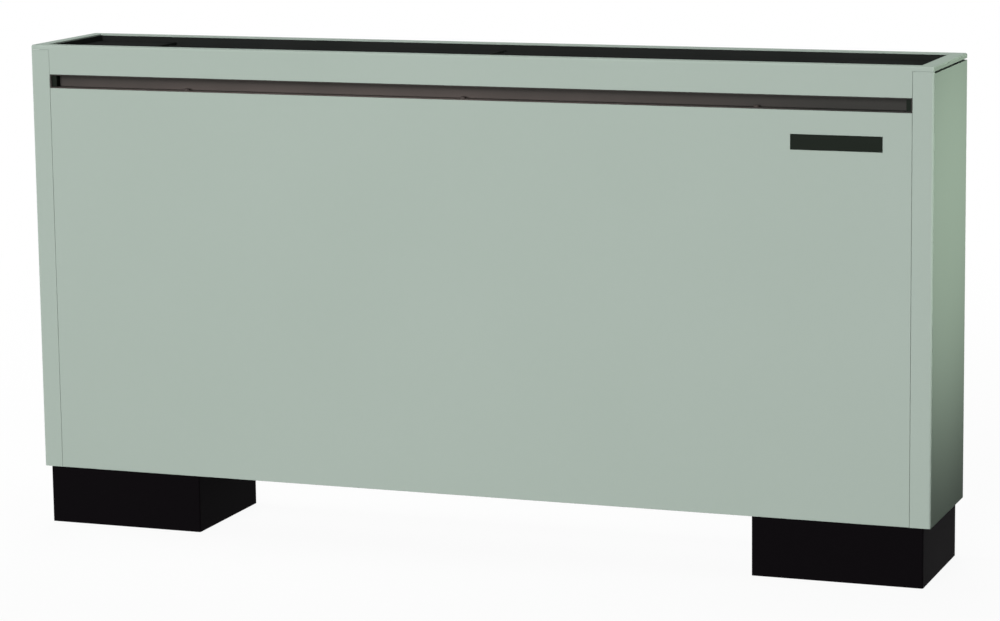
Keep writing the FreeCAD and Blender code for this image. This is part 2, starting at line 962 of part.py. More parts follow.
def louvre_link():
    """Bar that gangs the louvres: their crank pins ride in its upright slots as it slides."""
    owner = new_body("louvre_link")
    floor = grille_floor + dim.link_shelf + dim.slide_clearance
    slot_half = dim.crank_pin_radius + dim.crank_clearance
    pin_low = louvre_z - dim.crank_throw
    pin_high = louvre_z - dim.crank_throw * cosine(dim.louvre_swing)
    add_block(
        owner,
        (link_x, link_x + dim.link_thickness),
        (louvre_rows[0] - dim.link_end, louvre_rows[-1] + dim.link_end),
        (floor, floor + dim.link_height),
    )
    for row_y in louvre_rows:
        cut_block(
            owner,
            (link_x - dim.overrun, link_x + dim.link_thickness + dim.overrun),
            both(row_y, slot_half),
            (pin_low - slot_half, pin_high + slot_half),
        )
    return owner


def end_lid():
    """Right lid: a plate with a finger notch, hinged on two stub pins along its back edge."""
    owner = new_body("control_lid")
    span = (bar_outside + dim.lid_clearance, lid_end - dim.lid_clearance)
    lid_front = window_front + dim.lid_clearance
    add_block(owner, span, (lid_front, hinge_y + dim.lid_tail), (lid_floor, grille_top))
    cut_round(
        owner,
        "z",
        dim.lid_notch_radius,
        (lid_floor - dim.overrun, grille_top + dim.overrun),
        ((span[0] + span[1]) / 2, lid_front),
    )
    add_round(owner, "x", dim.lid_thickness, span, (hinge_y, hinge_z))
    reach = dim.lid_pin_length - dim.lid_clearance
    pins = (bar_outside - reach, lid_end + reach)
    add_round(owner, "x", dim.lid_pin_radius, pins, (hinge_y, hinge_z))
    return owner


# Controls

control_top = grille_top - dim.control_drop
control_x = frame_outside + dim.control_reach / 2
control_y = (window_front + window_rear) / 2


def knob_points():
    half = dim.knob_spacing / 2
    return {"thermostat_knob": (control_x, control_y - half), "speed_knob": (control_x, control_y + half)}


def control_plate():
    """Shallow tray that carries the two knobs, fixed to the right end frame."""
    owner = new_body("control_plate")
    span = (frame_outside, frame_outside + dim.control_reach)
    along = (window_front + dim.outlet_lip, window_rear - dim.outlet_lip)
    inner = dim.control_sheet
    add_block(owner, span, along, (control_top - dim.control_fold, control_top))
    cut_block(
        owner,
        (span[0] + inner, span[1] - inner),
        (along[0] + inner, along[1] - inner),
        (control_top - dim.control_fold - dim.overrun, control_top - inner),
    )
    for point in knob_points().values():
        hole = dim.knob_stem_radius + dim.pivot_clearance
        cut_round(owner, "z", hole, (control_top - dim.control_fold, control_top + dim.overrun), point)
    return owner


def knob(label, point):
    """Fluted knob turned from one outline, with a raised pointer and a stem through the plate."""
    owner = new_body(label)
    floor = dim.slide_clearance
    skirt = floor + dim.knob_skirt
    crown = floor + dim.knob_height
    outline = sketch_on(owner, "XZ_Plane")
    polygon(
        outline,
        [
            (0, -dim.knob_stem),
            (dim.knob_stem_radius, -dim.knob_stem),
            (dim.knob_stem_radius, floor),
            (dim.knob_skirt_radius, floor),
            (dim.knob_skirt_radius, skirt - dim.knob_edge),
            (dim.knob_skirt_radius - dim.knob_edge, skirt),
            (dim.knob_grip_radius, skirt),
            (dim.knob_top_radius, crown - dim.knob_edge),
            (dim.knob_top_radius - dim.knob_edge, crown),
            (0, crown),
        ],
    )
    revolve(owner, outline, "V_Axis")
    flute = cut_round(
        owner,
        "z",
        dim.knob_flute_radius,
        (skirt, crown + dim.overrun),
        (dim.knob_grip_radius + dim.knob_flute_radius / 2, 0),
    )
    polar(owner, flute, "Z_Axis", dim.knob_flute_count)
    add_block(
        owner,
        both(0, dim.pointer_width / 2),
        (-dim.knob_top_radius + dim.knob_edge, -dim.pointer_width),
        (crown - dim.knob_edge, crown + dim.pointer_rise),
    )
    place(owner, point[0], point[1], control_top)
    return owner


# Chassis


def base_plate():
    """Floor of the cabinet, with the intake opening and the collar that takes the filter."""
    owner = new_body("base_plate")
    half = intake_half
    intake = (chassis_front + dim.intake_front_margin, rear_front - dim.intake_back_margin)
    wall = dim.frame_sheet
    collar_top = base + dim.intake_collar
    add_block(
        owner,
        both(0, inside_half - dim.slide_clearance),
        (fold_back + dim.slide_clearance, rear_front),
        (base, base_top),
    )
    add_block(owner, both(0, half + wall), (intake[0] - wall, intake[1] + wall), (base, collar_top))
    cut_block(owner, both(0, half), intake, (base - dim.overrun, collar_top - wall))
    cut_block(
        owner,
        both(0, half - dim.intake_stop),
        (intake[0] + dim.intake_stop, intake[1] - dim.intake_stop),
        (base, collar_top + dim.overrun),
    )
    for side in (1, -1):
        for across, along in foot_bolt_points():
            holes = (base - dim.overrun, base_top + dim.overrun)
            cut_round(owner, "z", dim.foot_bolt_radius, holes, (side * across, along))
    return owner


def rear_panel():
    """Galvanised back with wall-fixing holes, the pipe passage and a flange under the cap."""
    owner = new_body("rear_panel")
    half = inside_half - dim.bend_radius
    crown = top - dim.panel_sheet
    through = (rear_front - dim.overrun, back)
    add_block(owner, both(0, half), (rear_front, rear_back), (base_top, crown))
    add_block(
        owner,
        both(0, outlet_half - dim.outlet_lip),
        (rear_front - dim.rear_top_flange, rear_back),
        (crown - dim.rear_sheet, crown),
    )
    for side in (1, -1):
        for level in (base + dim.wall_hole_low, top - dim.wall_hole_high):
            point = (side * (half_width - dim.wall_hole_inset), level)
            cut_round(owner, "y", dim.wall_hole_radius, through, point)
    passage_right = -frame_outside - dim.passage_gap
    cut_block(
        owner,
        (passage_right - dim.passage_width, passage_right),
        through,
        (deck_floor - dim.passage_sill, top - dim.passage_head),
    )
    return owner


def end_frame(label, side):
    """Upright channel between the air path and an end bay, cut out for the coil's pipes."""
    owner = new_body(label)
    low = air_half
    high = air_half + dim.frame_sheet
    reach = air_half + dim.frame_flange
    wall = dim.frame_sheet
    outline = sketch_on(owner, "XY_Plane", base_top)
    corners = [
        (low, chassis_front),
        (reach, chassis_front),
        (reach, chassis_front + wall),
        (high, chassis_front + wall),
        (high, rear_front - wall),
        (reach, rear_front - wall),
        (reach, rear_front),
        (low, rear_front),
    ]
    polygon(outline, [(side * across, along) for across, along in corners])
    pad(owner, outline, grille_floor - dim.panel_sheet - base_top)
    opening = owner.newObject("PartDesign::SubtractiveBox", f"{label}_coil_opening")
    half_depth = dim.row_pitch
    half_height = coil_half_height
    tie(opening, "Length", dim.frame_sheet + 2 * dim.overrun)
    tie(opening, "Width", 2 * half_depth)
    tie(opening, "Height", 2 * half_height)
    lean = coil_tilt
    start = low - dim.overrun if side > 0 else -high - dim.overrun
    place(
        opening,
        start,
        coil_y - half_depth * cosine(lean) - half_height * sine(lean),
        coil_z + half_depth * sine(lean) - half_height * cosine(lean),
        coil_lean,
    )
    tie(opening, "Placement.Rotation.Angle", -coil_tilt)
    if side < 0:
        gap = dim.pan_clearance
        cut_block(
            owner,
            (-high - dim.overrun, -low + dim.overrun),
            (pan_front, pan_rear + gap),
            (deck_top, deck_top + dim.pan_height + gap),
        )
    return owner


def fan_deck():
    """Shelf over the fans, with an opening over each scroll's mouth and a stiff front flange."""
    owner = new_body("fan_deck")
    mouth = (axis_y - dim.scroll_step / 2, axis_y + dim.scroll_step * 2.5 + scroll_radius)
    half_mouth = wheel_length / 2 + dim.scroll_side_gap
    add_block(owner, both(0, air_half), (chassis_front, rear_front), (deck_floor, deck_top))
    add_block(
        owner,
        both(0, air_half),
        (chassis_front, chassis_front + dim.frame_sheet),
        (deck_top - dim.deck_flange, deck_top),
    )
    for side in (1, -1):
        cut_block(
            owner,
            both(side * fan_x, half_mouth),
            mouth,
            (deck_floor - dim.overrun, deck_top + dim.overrun),
        )
    return owner


# Filter

filter_front = chassis_front + dim.intake_front_margin + dim.filter_side_gap
filter_rear = rear_front - dim.intake_back_margin - dim.filter_side_gap
filter_half = intake_half - dim.filter_end_gap
filter_floor = base + dim.filter_rise
filter_top = filter_floor + dim.filter_height


def filter_frame():
    """Moulded frame with cross ribs under the mesh and two finger tabs at its front edge."""
    owner = new_body("filter_frame")
    inner_half = filter_half - dim.filter_border
    inner = (filter_front + dim.filter_border, filter_rear - dim.filter_border)
    add_block(owner, both(0, filter_half), (filter_front, filter_rear), (filter_floor, filter_top))
    cut_block(
        owner, both(0, inner_half), inner, (filter_floor - dim.overrun, filter_top + dim.overrun)
    )
    rib_pitch = 2 * inner_half / (dim.filter_rib_count + 1)
    for number in range(1, COUNTS["filter_rib_count"] + 1):
        add_block(
            owner,
            both(number * rib_pitch - inner_half, dim.filter_rib / 2),
            inner,
            (filter_floor, filter_floor + dim.filter_rib_height),
        )
    for side in (1, -1):
        add_block(
            owner,
            both(side * dim.filter_tab_spacing / 2, dim.filter_tab_width / 2),
            (filter_front, filter_front + dim.filter_tab_thickness),
            (filter_floor - dim.filter_tab_drop, filter_floor),
        )
    return owner


def filter_mesh():
    """Pad of filter mesh that lies on the ribs inside the frame."""
    owner = new_body("filter_mesh")
    floor = filter_floor + dim.filter_rib_height
    add_block(
        owner,
        both(0, filter_half - dim.filter_border),
        (filter_front + dim.filter_border, filter_rear - dim.filter_border),
        (floor, floor + dim.filter_mesh_height),
    )
    return owner


def filter_springs():
    """Bowed leaf springs on the collar's two ends, which grip the filter."""
    springs = []
    middle = (filter_front + filter_rear) / 2
    for side in (1, -1):
        owner = new_body("filter_spring")
        outline = sketch_on(owner, "XZ_Plane", -middle - dim.filter_spring_width / 2)
        crest = intake_half - dim.filter_end_gap + dim.slide_clearance
        sheet = dim.filter_spring_sheet
        low = filter_floor
        high = base + dim.intake_collar - dim.frame_sheet - dim.slide_clearance
        corners = [
            (intake_half, low),
            (intake_half, high),
            (intake_half - sheet, high),
            (crest, (low + high) / 2),
            (intake_half - sheet, low),
        ]
        polygon(outline, [(side * across, up) for across, up in corners])
        pad(owner, outline, dim.filter_spring_width)
        springs.append(owner)
    return group("filter_springs", springs)


# Fans and motor

outboard_x = scroll_outer + dim.hanger_offset
shaft_end = outboard_x + dim.shaft_overhang


def fan_wheel():
    """Double-inlet wheel: forward-curved blades through a middle disc, with a ring at each end."""
    owner = new_body("right_fan_wheel")
    half = wheel_length / 2
    disc = sketch_on(owner, "YZ_Plane", -dim.wheel_disc / 2)
    ring(disc, wheel_radius)
    ring(disc, dim.shaft_radius + dim.press_clearance)
    pad(owner, disc, dim.wheel_disc)
    hub = sketch_on(owner, "YZ_Plane", -dim.wheel_hub_length / 2)
    ring(hub, dim.wheel_hub_radius)
    ring(hub, dim.shaft_radius + dim.press_clearance)
    pad(owner, hub, dim.wheel_hub_length)
    blade = sketch_on(owner, "YZ_Plane", -half)
    tip = wheel_radius - dim.wheel_ring_width / 2
    root = tip - dim.fan_blade_depth
    bend = (tip + root) / 2
    back_line = [
        (root, 0),
        (bend * cosine(dim.fan_blade_lean), bend * sine(dim.fan_blade_lean)),
        (tip * cosine(dim.fan_blade_curl), tip * sine(dim.fan_blade_curl)),
    ]
    front_line = [(across, up + dim.fan_blade_thickness) for across, up in back_line]
    polygon(blade, back_line + front_line[::-1])
    row = pad(owner, blade, wheel_length)
    polar(owner, row, "X_Axis", dim.fan_blade_count)
    for start in (-half, half - dim.wheel_ring_thickness):
        rim = sketch_on(owner, "YZ_Plane", start)
        ring(rim, wheel_radius)
        ring(rim, wheel_radius - dim.wheel_ring_width)
        pad(owner, rim, dim.wheel_ring_thickness)
    place(owner, fan_x, axis_y, axis_z)
    return owner


def scroll_face(grow):
    """Outline of a scroll, from its tongue round three growing quarter turns to its mouth."""
    step = dim.scroll_step.value
    radius = scroll_radius.value + grow
    rise = dim.deck_rise.value
    near_centre = FreeCAD.Vector(0, -step / 2, -step / 2)
    low_centre = FreeCAD.Vector(0, step / 2, -step / 2)
    far_centre = FreeCAD.Vector(0, step / 2, step / 2)
    tongue = FreeCAD.Vector(0, -step / 2 - grow, -step / 2 + math.sqrt(radius**2 - grow**2))
    near_point = near_centre + FreeCAD.Vector(0, -radius, 0)
    low_point = low_centre + FreeCAD.Vector(0, 0, -radius - step)
    far_point = far_centre + FreeCAD.Vector(0, radius + 2 * step, 0)
    diagonal = math.sqrt(0.5)
    near_middle = near_centre + FreeCAD.Vector(0, -diagonal, diagonal) * radius
    low_middle = low_centre + FreeCAD.Vector(0, -diagonal, -diagonal) * (radius + step)
    far_middle = far_centre + FreeCAD.Vector(0, diagonal, -diagonal) * (radius + 2 * step)
    mouth_near = FreeCAD.Vector(0, tongue.y, rise)
    mouth_far = FreeCAD.Vector(0, far_point.y, rise)
    edges = [
        Part.LineSegment(mouth_near, tongue).toShape(),
        Part.Arc(tongue, near_middle, near_point).toShape(),
        Part.Arc(near_point, low_middle, low_point).toShape(),
        Part.Arc(low_point, far_middle, far_point).toShape(),
        Part.LineSegment(far_point, mouth_far).toShape(),
        Part.LineSegment(mouth_far, mouth_near).toShape(),
    ]
    return Part.Face(Part.Wire(edges))


def fan_scroll():
    """Right scroll: a spiral wrapper between two side walls, each with a lipped round inlet."""
    wall = dim.scroll_wall.value
    half = wheel_length.value / 2 + dim.scroll_side_gap.value
    lip = dim.inlet_lip.value
    inlet = scroll_radius.value - dim.inlet_inset.value
    shell = scroll_face(wall).extrude(X_AXIS * 2 * (half + wall))
    shell.translate(-X_AXIS * (half + wall))
    hollow = scroll_face(0).extrude(X_AXIS * 2 * half)
    hollow.translate(-X_AXIS * half)
    long = 2 * (half + wall + lip)
    collar = Part.makeCylinder(inlet + wall, long, -X_AXIS * long / 2, X_AXIS)
    bore = Part.makeCylinder(inlet, long, -X_AXIS * long / 2, X_AXIS)
    shape = shell.fuse(collar).cut(hollow).cut(bore).removeSplitter()
    thing = doc.addObject("Part::Feature", "right_fan_scroll")
    thing.Shape = shape.Solids[0] if len(shape.Solids) == 1 else shape
    place(thing, fan_x, axis_y, axis_z)
    return thing


def fan_motor():
    """Motor turned from one outline: ribbed can, stepped end bells, bosses and bearing seats."""
    owner = new_body("fan_motor")
    can = dim.motor_length / 2
    bell = can + dim.motor_bell_length
    boss = bell + dim.motor_boss_length
    seat = boss - dim.bearing_length
    edge = dim.motor_edge
    groove = dim.motor_radius - dim.motor_rib
    half_outline = [
        (boss, dim.bearing_radius),
        (boss, dim.motor_boss_radius),
        (bell, dim.motor_boss_radius),
        (bell, dim.motor_bell_radius - edge),
        (bell - edge, dim.motor_bell_radius),
        (can, dim.motor_bell_radius),
        (can, dim.motor_radius - edge),
        (can - edge, dim.motor_radius),
        (can / 2, dim.motor_radius),
        (can / 2, groove),
    ]
    bore_side = [(seat, dim.motor_bore), (seat, dim.bearing_radius)]
    left_outline = [(-across, up) for across, up in half_outline[::-1]]
    left_bore = [(-across, up) for across, up in bore_side[::-1]]
    outline = sketch_on(owner, "XY_Plane")
    polygon(outline, half_outline + left_outline + left_bore + bore_side)
    revolve(owner, outline, "H_Axis")
    place(owner, 0, axis_y, axis_z)
    return owner


def sleeve(label, outer, inner, span):
    """Plain ring on the fan axis."""
    owner = new_body(label)
    add_round(owner, "x", outer, span, (axis_y, axis_z))
    cut_round(owner, "x", inner, (span[0] - dim.overrun, span[1] + dim.overrun), (axis_y, axis_z))
    return owner


def ring_pair(label, outer, inner, span):
    """A ring on the right of the motor and its twin on the left."""
    right = sleeve(f"{label}_right", outer, inner, span)
    return group(label, [right, mirrored(f"{label}_left", right)])


def motor_cradle():
    """Bridge under the deck whose two legs hold the motor's rubber rings."""
    owner = new_body("motor_cradle")
    leg_middle = boss_start + dim.motor_boss_length / 2
    half_sheet = dim.cradle_sheet / 2
    across = both(axis_y, dim.cradle_half_width)
    leg_floor = axis_z - dim.cradle_half_width
    add_block(
        owner,
        both(0, leg_middle + half_sheet),
        across,
        (deck_floor - dim.cradle_sheet, deck_floor),
    )
    for side in (1, -1):
        add_block(owner, both(side * leg_middle, half_sheet), across, (leg_floor, deck_floor))
    reach = leg_middle + dim.cradle_sheet
    cut_round(owner, "x", dim.ring_radius, both(0, reach), (axis_y, axis_z))
    return owner


def bearing_hanger():
    """Right hanger: a bent strap under the deck that holds the outboard bearing."""
    owner = new_body("hanger")
    half_sheet = dim.cradle_sheet / 2
    across = both(axis_y, dim.hanger_half_width)
    add_block(
        owner,
        both(outboard_x, half_sheet),
        across,
        (axis_z - dim.hanger_half_width, deck_floor),
    )
    add_block(
        owner,
        (outboard_x - half_sheet, outboard_x + dim.hanger_foot),
        across,
        (deck_floor - dim.cradle_sheet, deck_floor),
    )
    reach = both(outboard_x, dim.cradle_sheet)
    cut_round(owner, "x", dim.outboard_radius, reach, (axis_y, axis_z))
    return owner


def fan_shaft():
    """One long shaft through the motor and both wheels."""
    owner = new_body("fan_shaft")
    add_round(owner, "x", dim.shaft_radius, both(0, shaft_end), (axis_y, axis_z))
    return owner


# Coil, headers and drain

coil_half_length = air_half - dim.coil_plate
tube_rows = [
    (number + 0.5) * tube_pitch - coil_half_height for number in range(COUNTS["tube_count"])
]
coil_half_depth = dim.row_pitch
row_half = dim.row_pitch / 2


def on_coil(thing):
    """Lean a piece that was drawn round the coil's own middle, and lift it to its place."""
    place(thing, 0, coil_y, coil_z, coil_lean)
    tie(thing, "Placement.Rotation.Angle", -coil_tilt)
    return thing


def coil_point(across, up):
    """Y and Z, in the cabinet, of a point given on the coil's own depth and height."""
    lean = coil_tilt
    return (
        coil_y + across * cosine(lean) + up * sine(lean),
        coil_z - across * sine(lean) + up * cosine(lean),
    )


def coil_fins():
    """Fin pack: a core crossed by plate fins that stand out of its two faces."""
    owner = new_body("coil_fins")
    core = coil_half_depth - dim.fin_reach
    add_block(owner, both(0, coil_half_length), both(0, core), both(0, coil_half_height))
    fin_pitch = 2 * coil_half_length / dim.fin_count
    first = fin_pitch / 2 - coil_half_length
    fin = add_block(
        owner, both(first, dim.fin_thickness / 2), both(0, coil_half_depth), both(0, coil_half_height)
    )
    row_of(owner, fin, "X_Axis", fin_pitch * (dim.fin_count - 1), dim.fin_count)
    return on_coil(owner)


def coil_plates():
    """Flanged plate at each end of the fin pack, bored for the tubes."""
    owner = new_body("coil_plate_right")
    margin = dim.coil_plate_margin
    span = (coil_half_length, air_half)
    add_block(
        owner, span, both(0, coil_half_depth + margin / 2), both(0, coil_half_height + margin)
    )
    holes = sketch_on(owner, "YZ_Plane", coil_half_length - dim.overrun)
    for up in tube_rows:
        for across in (-row_half, row_half):
            ring(holes, dim.tube_radius, across, up)
    pocket(owner, holes, dim.coil_plate + 2 * dim.overrun, ahead=True)
    on_coil(owner)
    return group("coil_end_plates", [owner, mirrored("coil_plate_left", owner)])


def return_bends():
    """Hairpin bends at the right end, each joining a tube of the front row to one of the rear."""
    bends = []
    straight = air_half + dim.frame_sheet + dim.bend_stub
    for number, up in enumerate(tube_rows, 1):
        owner = new_body(f"return_bend_{number}")
        for across in (-row_half, row_half):
            add_round(owner, "x", dim.tube_radius, (coil_half_length, straight), (across, up))
        bend = owner.newObject("PartDesign::AdditiveTorus", f"return_bend_{number}_turn")
        tie(bend, "Radius1", row_half)
        tie(bend, "Radius2", dim.tube_radius)
        bend.Angle3 = 180
        place(bend, straight, 0, up, FreeCAD.Rotation(Z_AXIS, -90))
        bends.append(on_coil(owner))
    return group("return_bends", bends)


def header(label, row_side, offset, port_end):
    """Header pipe across one row's tube ends, with a threaded port that faces the wall."""
    owner = new_body(f"{label}_pipe")
    pipe_x = -frame_outside - offset
    across = row_side * row_half
    low = tube_rows[0] - dim.header_tail
    high = tube_rows[-1] + dim.header_tail
    if port_end > 0:
        high = high + dim.header_port_rise
    else:
        low = low - dim.header_port_rise
    add_round(owner, "z", dim.header_radius, (low, high), (pipe_x, across))
    for up in tube_rows:
        add_round(owner, "x", dim.tube_radius, (pipe_x, -coil_half_length), (across, up))
    if port_end < 0:
        vent_hole = dim.vent_stem_radius + dim.pivot_clearance
        cut_round(owner, "z", vent_hole, (high - dim.vent_stem, high + dim.overrun), (pipe_x, across))
    on_coil(owner)
    end_row = tube_rows[-1] if port_end > 0 else tube_rows[0]
    port_y, port_z = coil_point(across, end_row + port_end * dim.header_port_rise)
    port = doc.addObject("Part::Cylinder", f"{label}_port")
    face = back - dim.port_inset
    tie(port, "Radius", dim.port_radius)
    tie(port, "Height", face - port_y)
    place(port, pipe_x, port_y, port_z, TURNS["y"])
    bore = doc.addObject("Part::Cylinder", f"{label}_bore")
    tie(bore, "Radius", dim.port_bore)
    tie(bore, "Height", dim.port_depth + dim.overrun)
    place(bore, pipe_x, face - dim.port_depth, port_z, TURNS["y"])
    whole = doc.addObject("Part::Fuse", f"{label}_whole")
    whole.Base = owner
    whole.Tool = port
    bored = doc.addObject("Part::Cut", label)
    bored.Base = whole
    bored.Tool = bore
    bored.Refine = True
    print(label, "port at", [round(size.value, 3) for size in (pipe_x, face, port_z)])
    return bored


def air_vent():
    """Knurled bleed screw on top of the return header."""
    owner = new_body("air_vent_screw")
    top_end = tube_rows[-1] + dim.header_tail
    pipe_x = -frame_outside - dim.return_header_offset
    head = (top_end + dim.slide_clearance, top_end + dim.slide_clearance + dim.vent_height)
    stem = (top_end - dim.vent_stem + dim.slide_clearance, head[0])
    add_round(owner, "z", dim.vent_radius, head, (pipe_x, row_half))
    add_round(owner, "z", dim.vent_stem_radius, stem, (pipe_x, row_half))
    axis_point = coil_point(row_half, top_end)
    print("vent axis at", [round(size.value, 3) for size in (pipe_x, *axis_point)])
    return on_coil(owner)


pan_front = chassis_front + dim.frame_sheet
pan_rear = pan_front + dim.pan_depth
pan_right = coil_half_length - dim.chassis_gap
pan_left = -frame_outside - dim.pan_bay_reach
spout_x = -frame_outside - dim.spout_offset
spout_z = deck_top + dim.spout_rise


def drain_pan():
    """Trough on the deck under the coil's low edge; it runs on under the headers to its spout."""
    owner = new_body("drain_pan")
    rim = deck_top + dim.pan_height
    add_block(owner, (pan_left, pan_right), (pan_front, pan_rear), (deck_top, rim))
    cut_block(
        owner,
        (pan_left + dim.pan_wall, pan_right - dim.pan_wall),
        (pan_front + dim.pan_wall, pan_rear - dim.pan_wall),
        (deck_top + dim.pan_floor, rim + dim.overrun),
    )
    spout_end = pan_rear + dim.spout_length
    add_round(owner, "y", dim.spout_radius, (pan_rear, spout_end), (spout_x, spout_z))
    bore = (pan_rear - 2 * dim.pan_wall, spout_end + dim.overrun)
    cut_round(owner, "y", dim.spout_bore, bore, (spout_x, spout_z))
    print("spout tip at", [round(size.value, 3) for size in (spout_x, spout_end, spout_z)])
    return owner


# Electrics

box_front = front + dim.terminal_box_setback
box_rear = box_front + dim.terminal_box_width
box_floor = base + dim.terminal_box_rise
box_top = box_floor + dim.terminal_box_height
box_mouth = frame_outside + dim.terminal_box_depth


def terminal_box():
    """Sheet box on the right end frame, open to the side, with a gland hole in its floor."""
    owner = new_body("terminal_box")
    wall = dim.terminal_box_sheet
    add_block(owner, (frame_outside, box_mouth), (box_front, box_rear), (box_floor, box_top))
    cut_block(
        owner,
        (frame_outside + wall, box_mouth + dim.overrun),
        (box_front + wall, box_rear - wall),
        (box_floor + wall, box_top - wall),
    )
    point = gland_point()
    cut_round(owner, "z", dim.gland_radius, (box_floor - wall, box_floor + 2 * wall), point)
    return owner


def terminal_cover():
    """Cover that laps over the terminal box's mouth."""
    owner = new_body("terminal_cover")
    wall = dim.terminal_box_sheet
    add_block(
        owner,
        (box_mouth - dim.cover_rim, box_mouth + wall),
        (box_front - wall, box_rear + wall),
        (box_floor - wall, box_top + wall),
    )
    cut_block(
        owner,
        (box_mouth - dim.cover_rim - dim.overrun, box_mouth),
        (box_front, box_rear),
        (box_floor, box_top),
    )
    return owner


def gland_point():
    return ((frame_outside + box_mouth) / 2, box_rear - dim.terminal_gap)


def terminal_block():
    """Barrier strip on the back wall of the terminal box."""
    owner = new_body("terminal_block")
    seat = frame_outside + dim.terminal_box_sheet
    middle = (box_front + box_rear) / 2
    crown = box_top - dim.terminal_gap
    add_block(
        owner,
        (seat, seat + dim.terminal_depth),
        both(middle, dim.terminal_width / 2),
        (crown - dim.terminal_height, crown),
    )
    pitch = dim.terminal_width / dim.terminal_count
    for number in range(COUNTS["terminal_count"]):
        slot_y = middle - dim.terminal_width / 2 + pitch * (number + 0.5)
        for slot in (
            (crown - dim.terminal_height - dim.overrun, crown - 2 * dim.terminal_height / 3),
            (crown - dim.terminal_height / 3, crown + dim.overrun),
        ):
            cut_block(
                owner,
                (seat + dim.terminal_depth / 2, seat + dim.terminal_depth + dim.overrun),
                both(slot_y, dim.terminal_slot),
                slot,
            )
    return owner


def capacitor():
    """Motor capacitor standing on the floor of the terminal box."""
    owner = new_body("motor_capacitor")
    floor = box_floor + dim.terminal_box_sheet
    crown = floor + dim.capacitor_height
    outline = sketch_on(owner, "XZ_Plane")
    polygon(
        outline,
        [
            (0, floor),
            (dim.capacitor_radius, floor),
            (dim.capacitor_radius, crown - dim.capacitor_edge),
            (dim.capacitor_radius - dim.capacitor_edge, crown),
            (dim.capacitor_stud_radius, crown),
            (dim.capacitor_stud_radius, crown + dim.capacitor_edge),
            (0, crown + dim.capacitor_edge),
        ],
    )
    revolve(owner, outline, "V_Axis")
    place(owner, gland_point()[0], box_front + dim.terminal_gap, 0)
    return owner


def cable_gland():
    """Gland for the supply lead in the floor of the terminal box."""
    owner = new_body("cable_gland")
    nut_floor = box_floor - dim.gland_nut
    outline = sketch_on(owner, "XZ_Plane")
    inside = box_floor + dim.terminal_box_sheet
    polygon(
        outline,
        [
            (dim.gland_bore, nut_floor - dim.gland_dome),
            (dim.gland_radius, nut_floor - dim.gland_dome),
            (dim.gland_nut_radius - dim.gland_bore / 2, nut_floor),
            (dim.gland_nut_radius, nut_floor),
            (dim.gland_nut_radius, box_floor),
            (dim.gland_radius, box_floor),
            (dim.gland_radius, inside + dim.gland_nut),
            (dim.gland_bore, inside + dim.gland_nut),
        ],
    )
    revolve(owner, outline, "V_Axis")
    place(owner, *gland_point(), 0)
    return owner


# The whole part

right_side = side_panel()
right_foot = foot()
lid = end_lid()
wheel = fan_wheel()
scroll = fan_scroll()
hanger = bearing_hanger()
bearing_span = (boss_end - dim.bearing_length, boss_end)
ring_middle = boss_start + dim.motor_boss_length / 2
running_bore = dim.shaft_radius + dim.bearing_clearance

pieces = [
    right_side,
    mirrored("left_side_panel", right_side),
    front_panel(),
    group("front_panel_stiffeners", [stiffener(1), stiffener(-1)]),
    top_panel(),
    slot_trim(),
    group("front_panel_screws", [panel_screw(side) for side in (-1, 0, 1)]),
    name_plate(),
    right_foot,
    mirrored("left_foot", right_foot),
    foot_bolts(),
    grille_frame(),
    *[louvre(number, row_y) for number, row_y in enumerate(louvre_rows, 1)],
    louvre_link(),
    lid,
    mirrored("vent_lid", lid),
    control_plate(),
    *[knob(label, point) for label, point in knob_points().items()],
    base_plate(),
    rear_panel(),
    end_frame("right_end_frame", 1),
    end_frame("left_end_frame", -1),
    fan_deck(),
    filter_frame(),
    filter_mesh(),
    filter_springs(),
    wheel,
    mirrored("left_fan_wheel", wheel),
    scroll,
    mirrored("left_fan_scroll", scroll),
    fan_motor(),
    ring_pair("motor_bearings", dim.bearing_radius, running_bore, bearing_span),
    ring_pair(
        "motor_rubber_rings",
        dim.ring_radius,
        dim.motor_boss_radius,
        both(ring_middle, dim.ring_length / 2),
    ),
    motor_cradle(),
    group("bearing_hangers", [hanger, mirrored("hanger_left", hanger)]),
    ring_pair(
        "outboard_bearings",
        dim.outboard_radius,
        running_bore,
        both(outboard_x, dim.outboard_length / 2),
    ),
    fan_shaft(),
    coil_fins(),
    coil_plates(),
    return_bends(),
    header("supply_header", -1, dim.supply_header_offset, 1),
    header("return_header", 1, dim.return_header_offset, -1),
    air_vent(),
    drain_pan(),
    terminal_box(),
    terminal_cover(),
    terminal_block(),
    capacitor(),
    cable_gland(),
]

doc.recompute()
for thing in doc.Objects:
    if {"Invalid", "Error"} & set(thing.State):
        raise ValueError(f"{thing.Label} failed: {thing.State}")
for piece in pieces:
    if piece.Shape.isNull() or not piece.Shape.isValid() or not piece.Shape.Solids:
        raise ValueError(f"{piece.Label} has no valid solid")

os.makedirs("parts", exist_ok=True)
for piece in pieces:
    piece.Shape.exportStep(f"parts/{piece.Label}.step")
    box = piece.Shape.BoundBox
    extent = " x ".join(f"{length:.1f}" for length in (box.XLength, box.YLength, box.ZLength))
    print(f"{piece.Label}: {len(piece.Shape.Solids)} solids, {extent}")
print(len(pieces), "sub-parts")
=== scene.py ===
# %% [markdown]
# # A floor console air conditioner
# The object is a slim painted steel cabinet on two black feet. Room air comes in underneath, two
# blower fans push it up through a leaning coil, and it leaves through a louvred outlet along the top.
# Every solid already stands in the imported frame, so this lesson dresses those solids: it gives each one a
# finish and adds the small pieces that a maker would print, press or screw on at the end.

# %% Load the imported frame
import json
import math

import bmesh
import bpy
from mathutils import Matrix, Vector


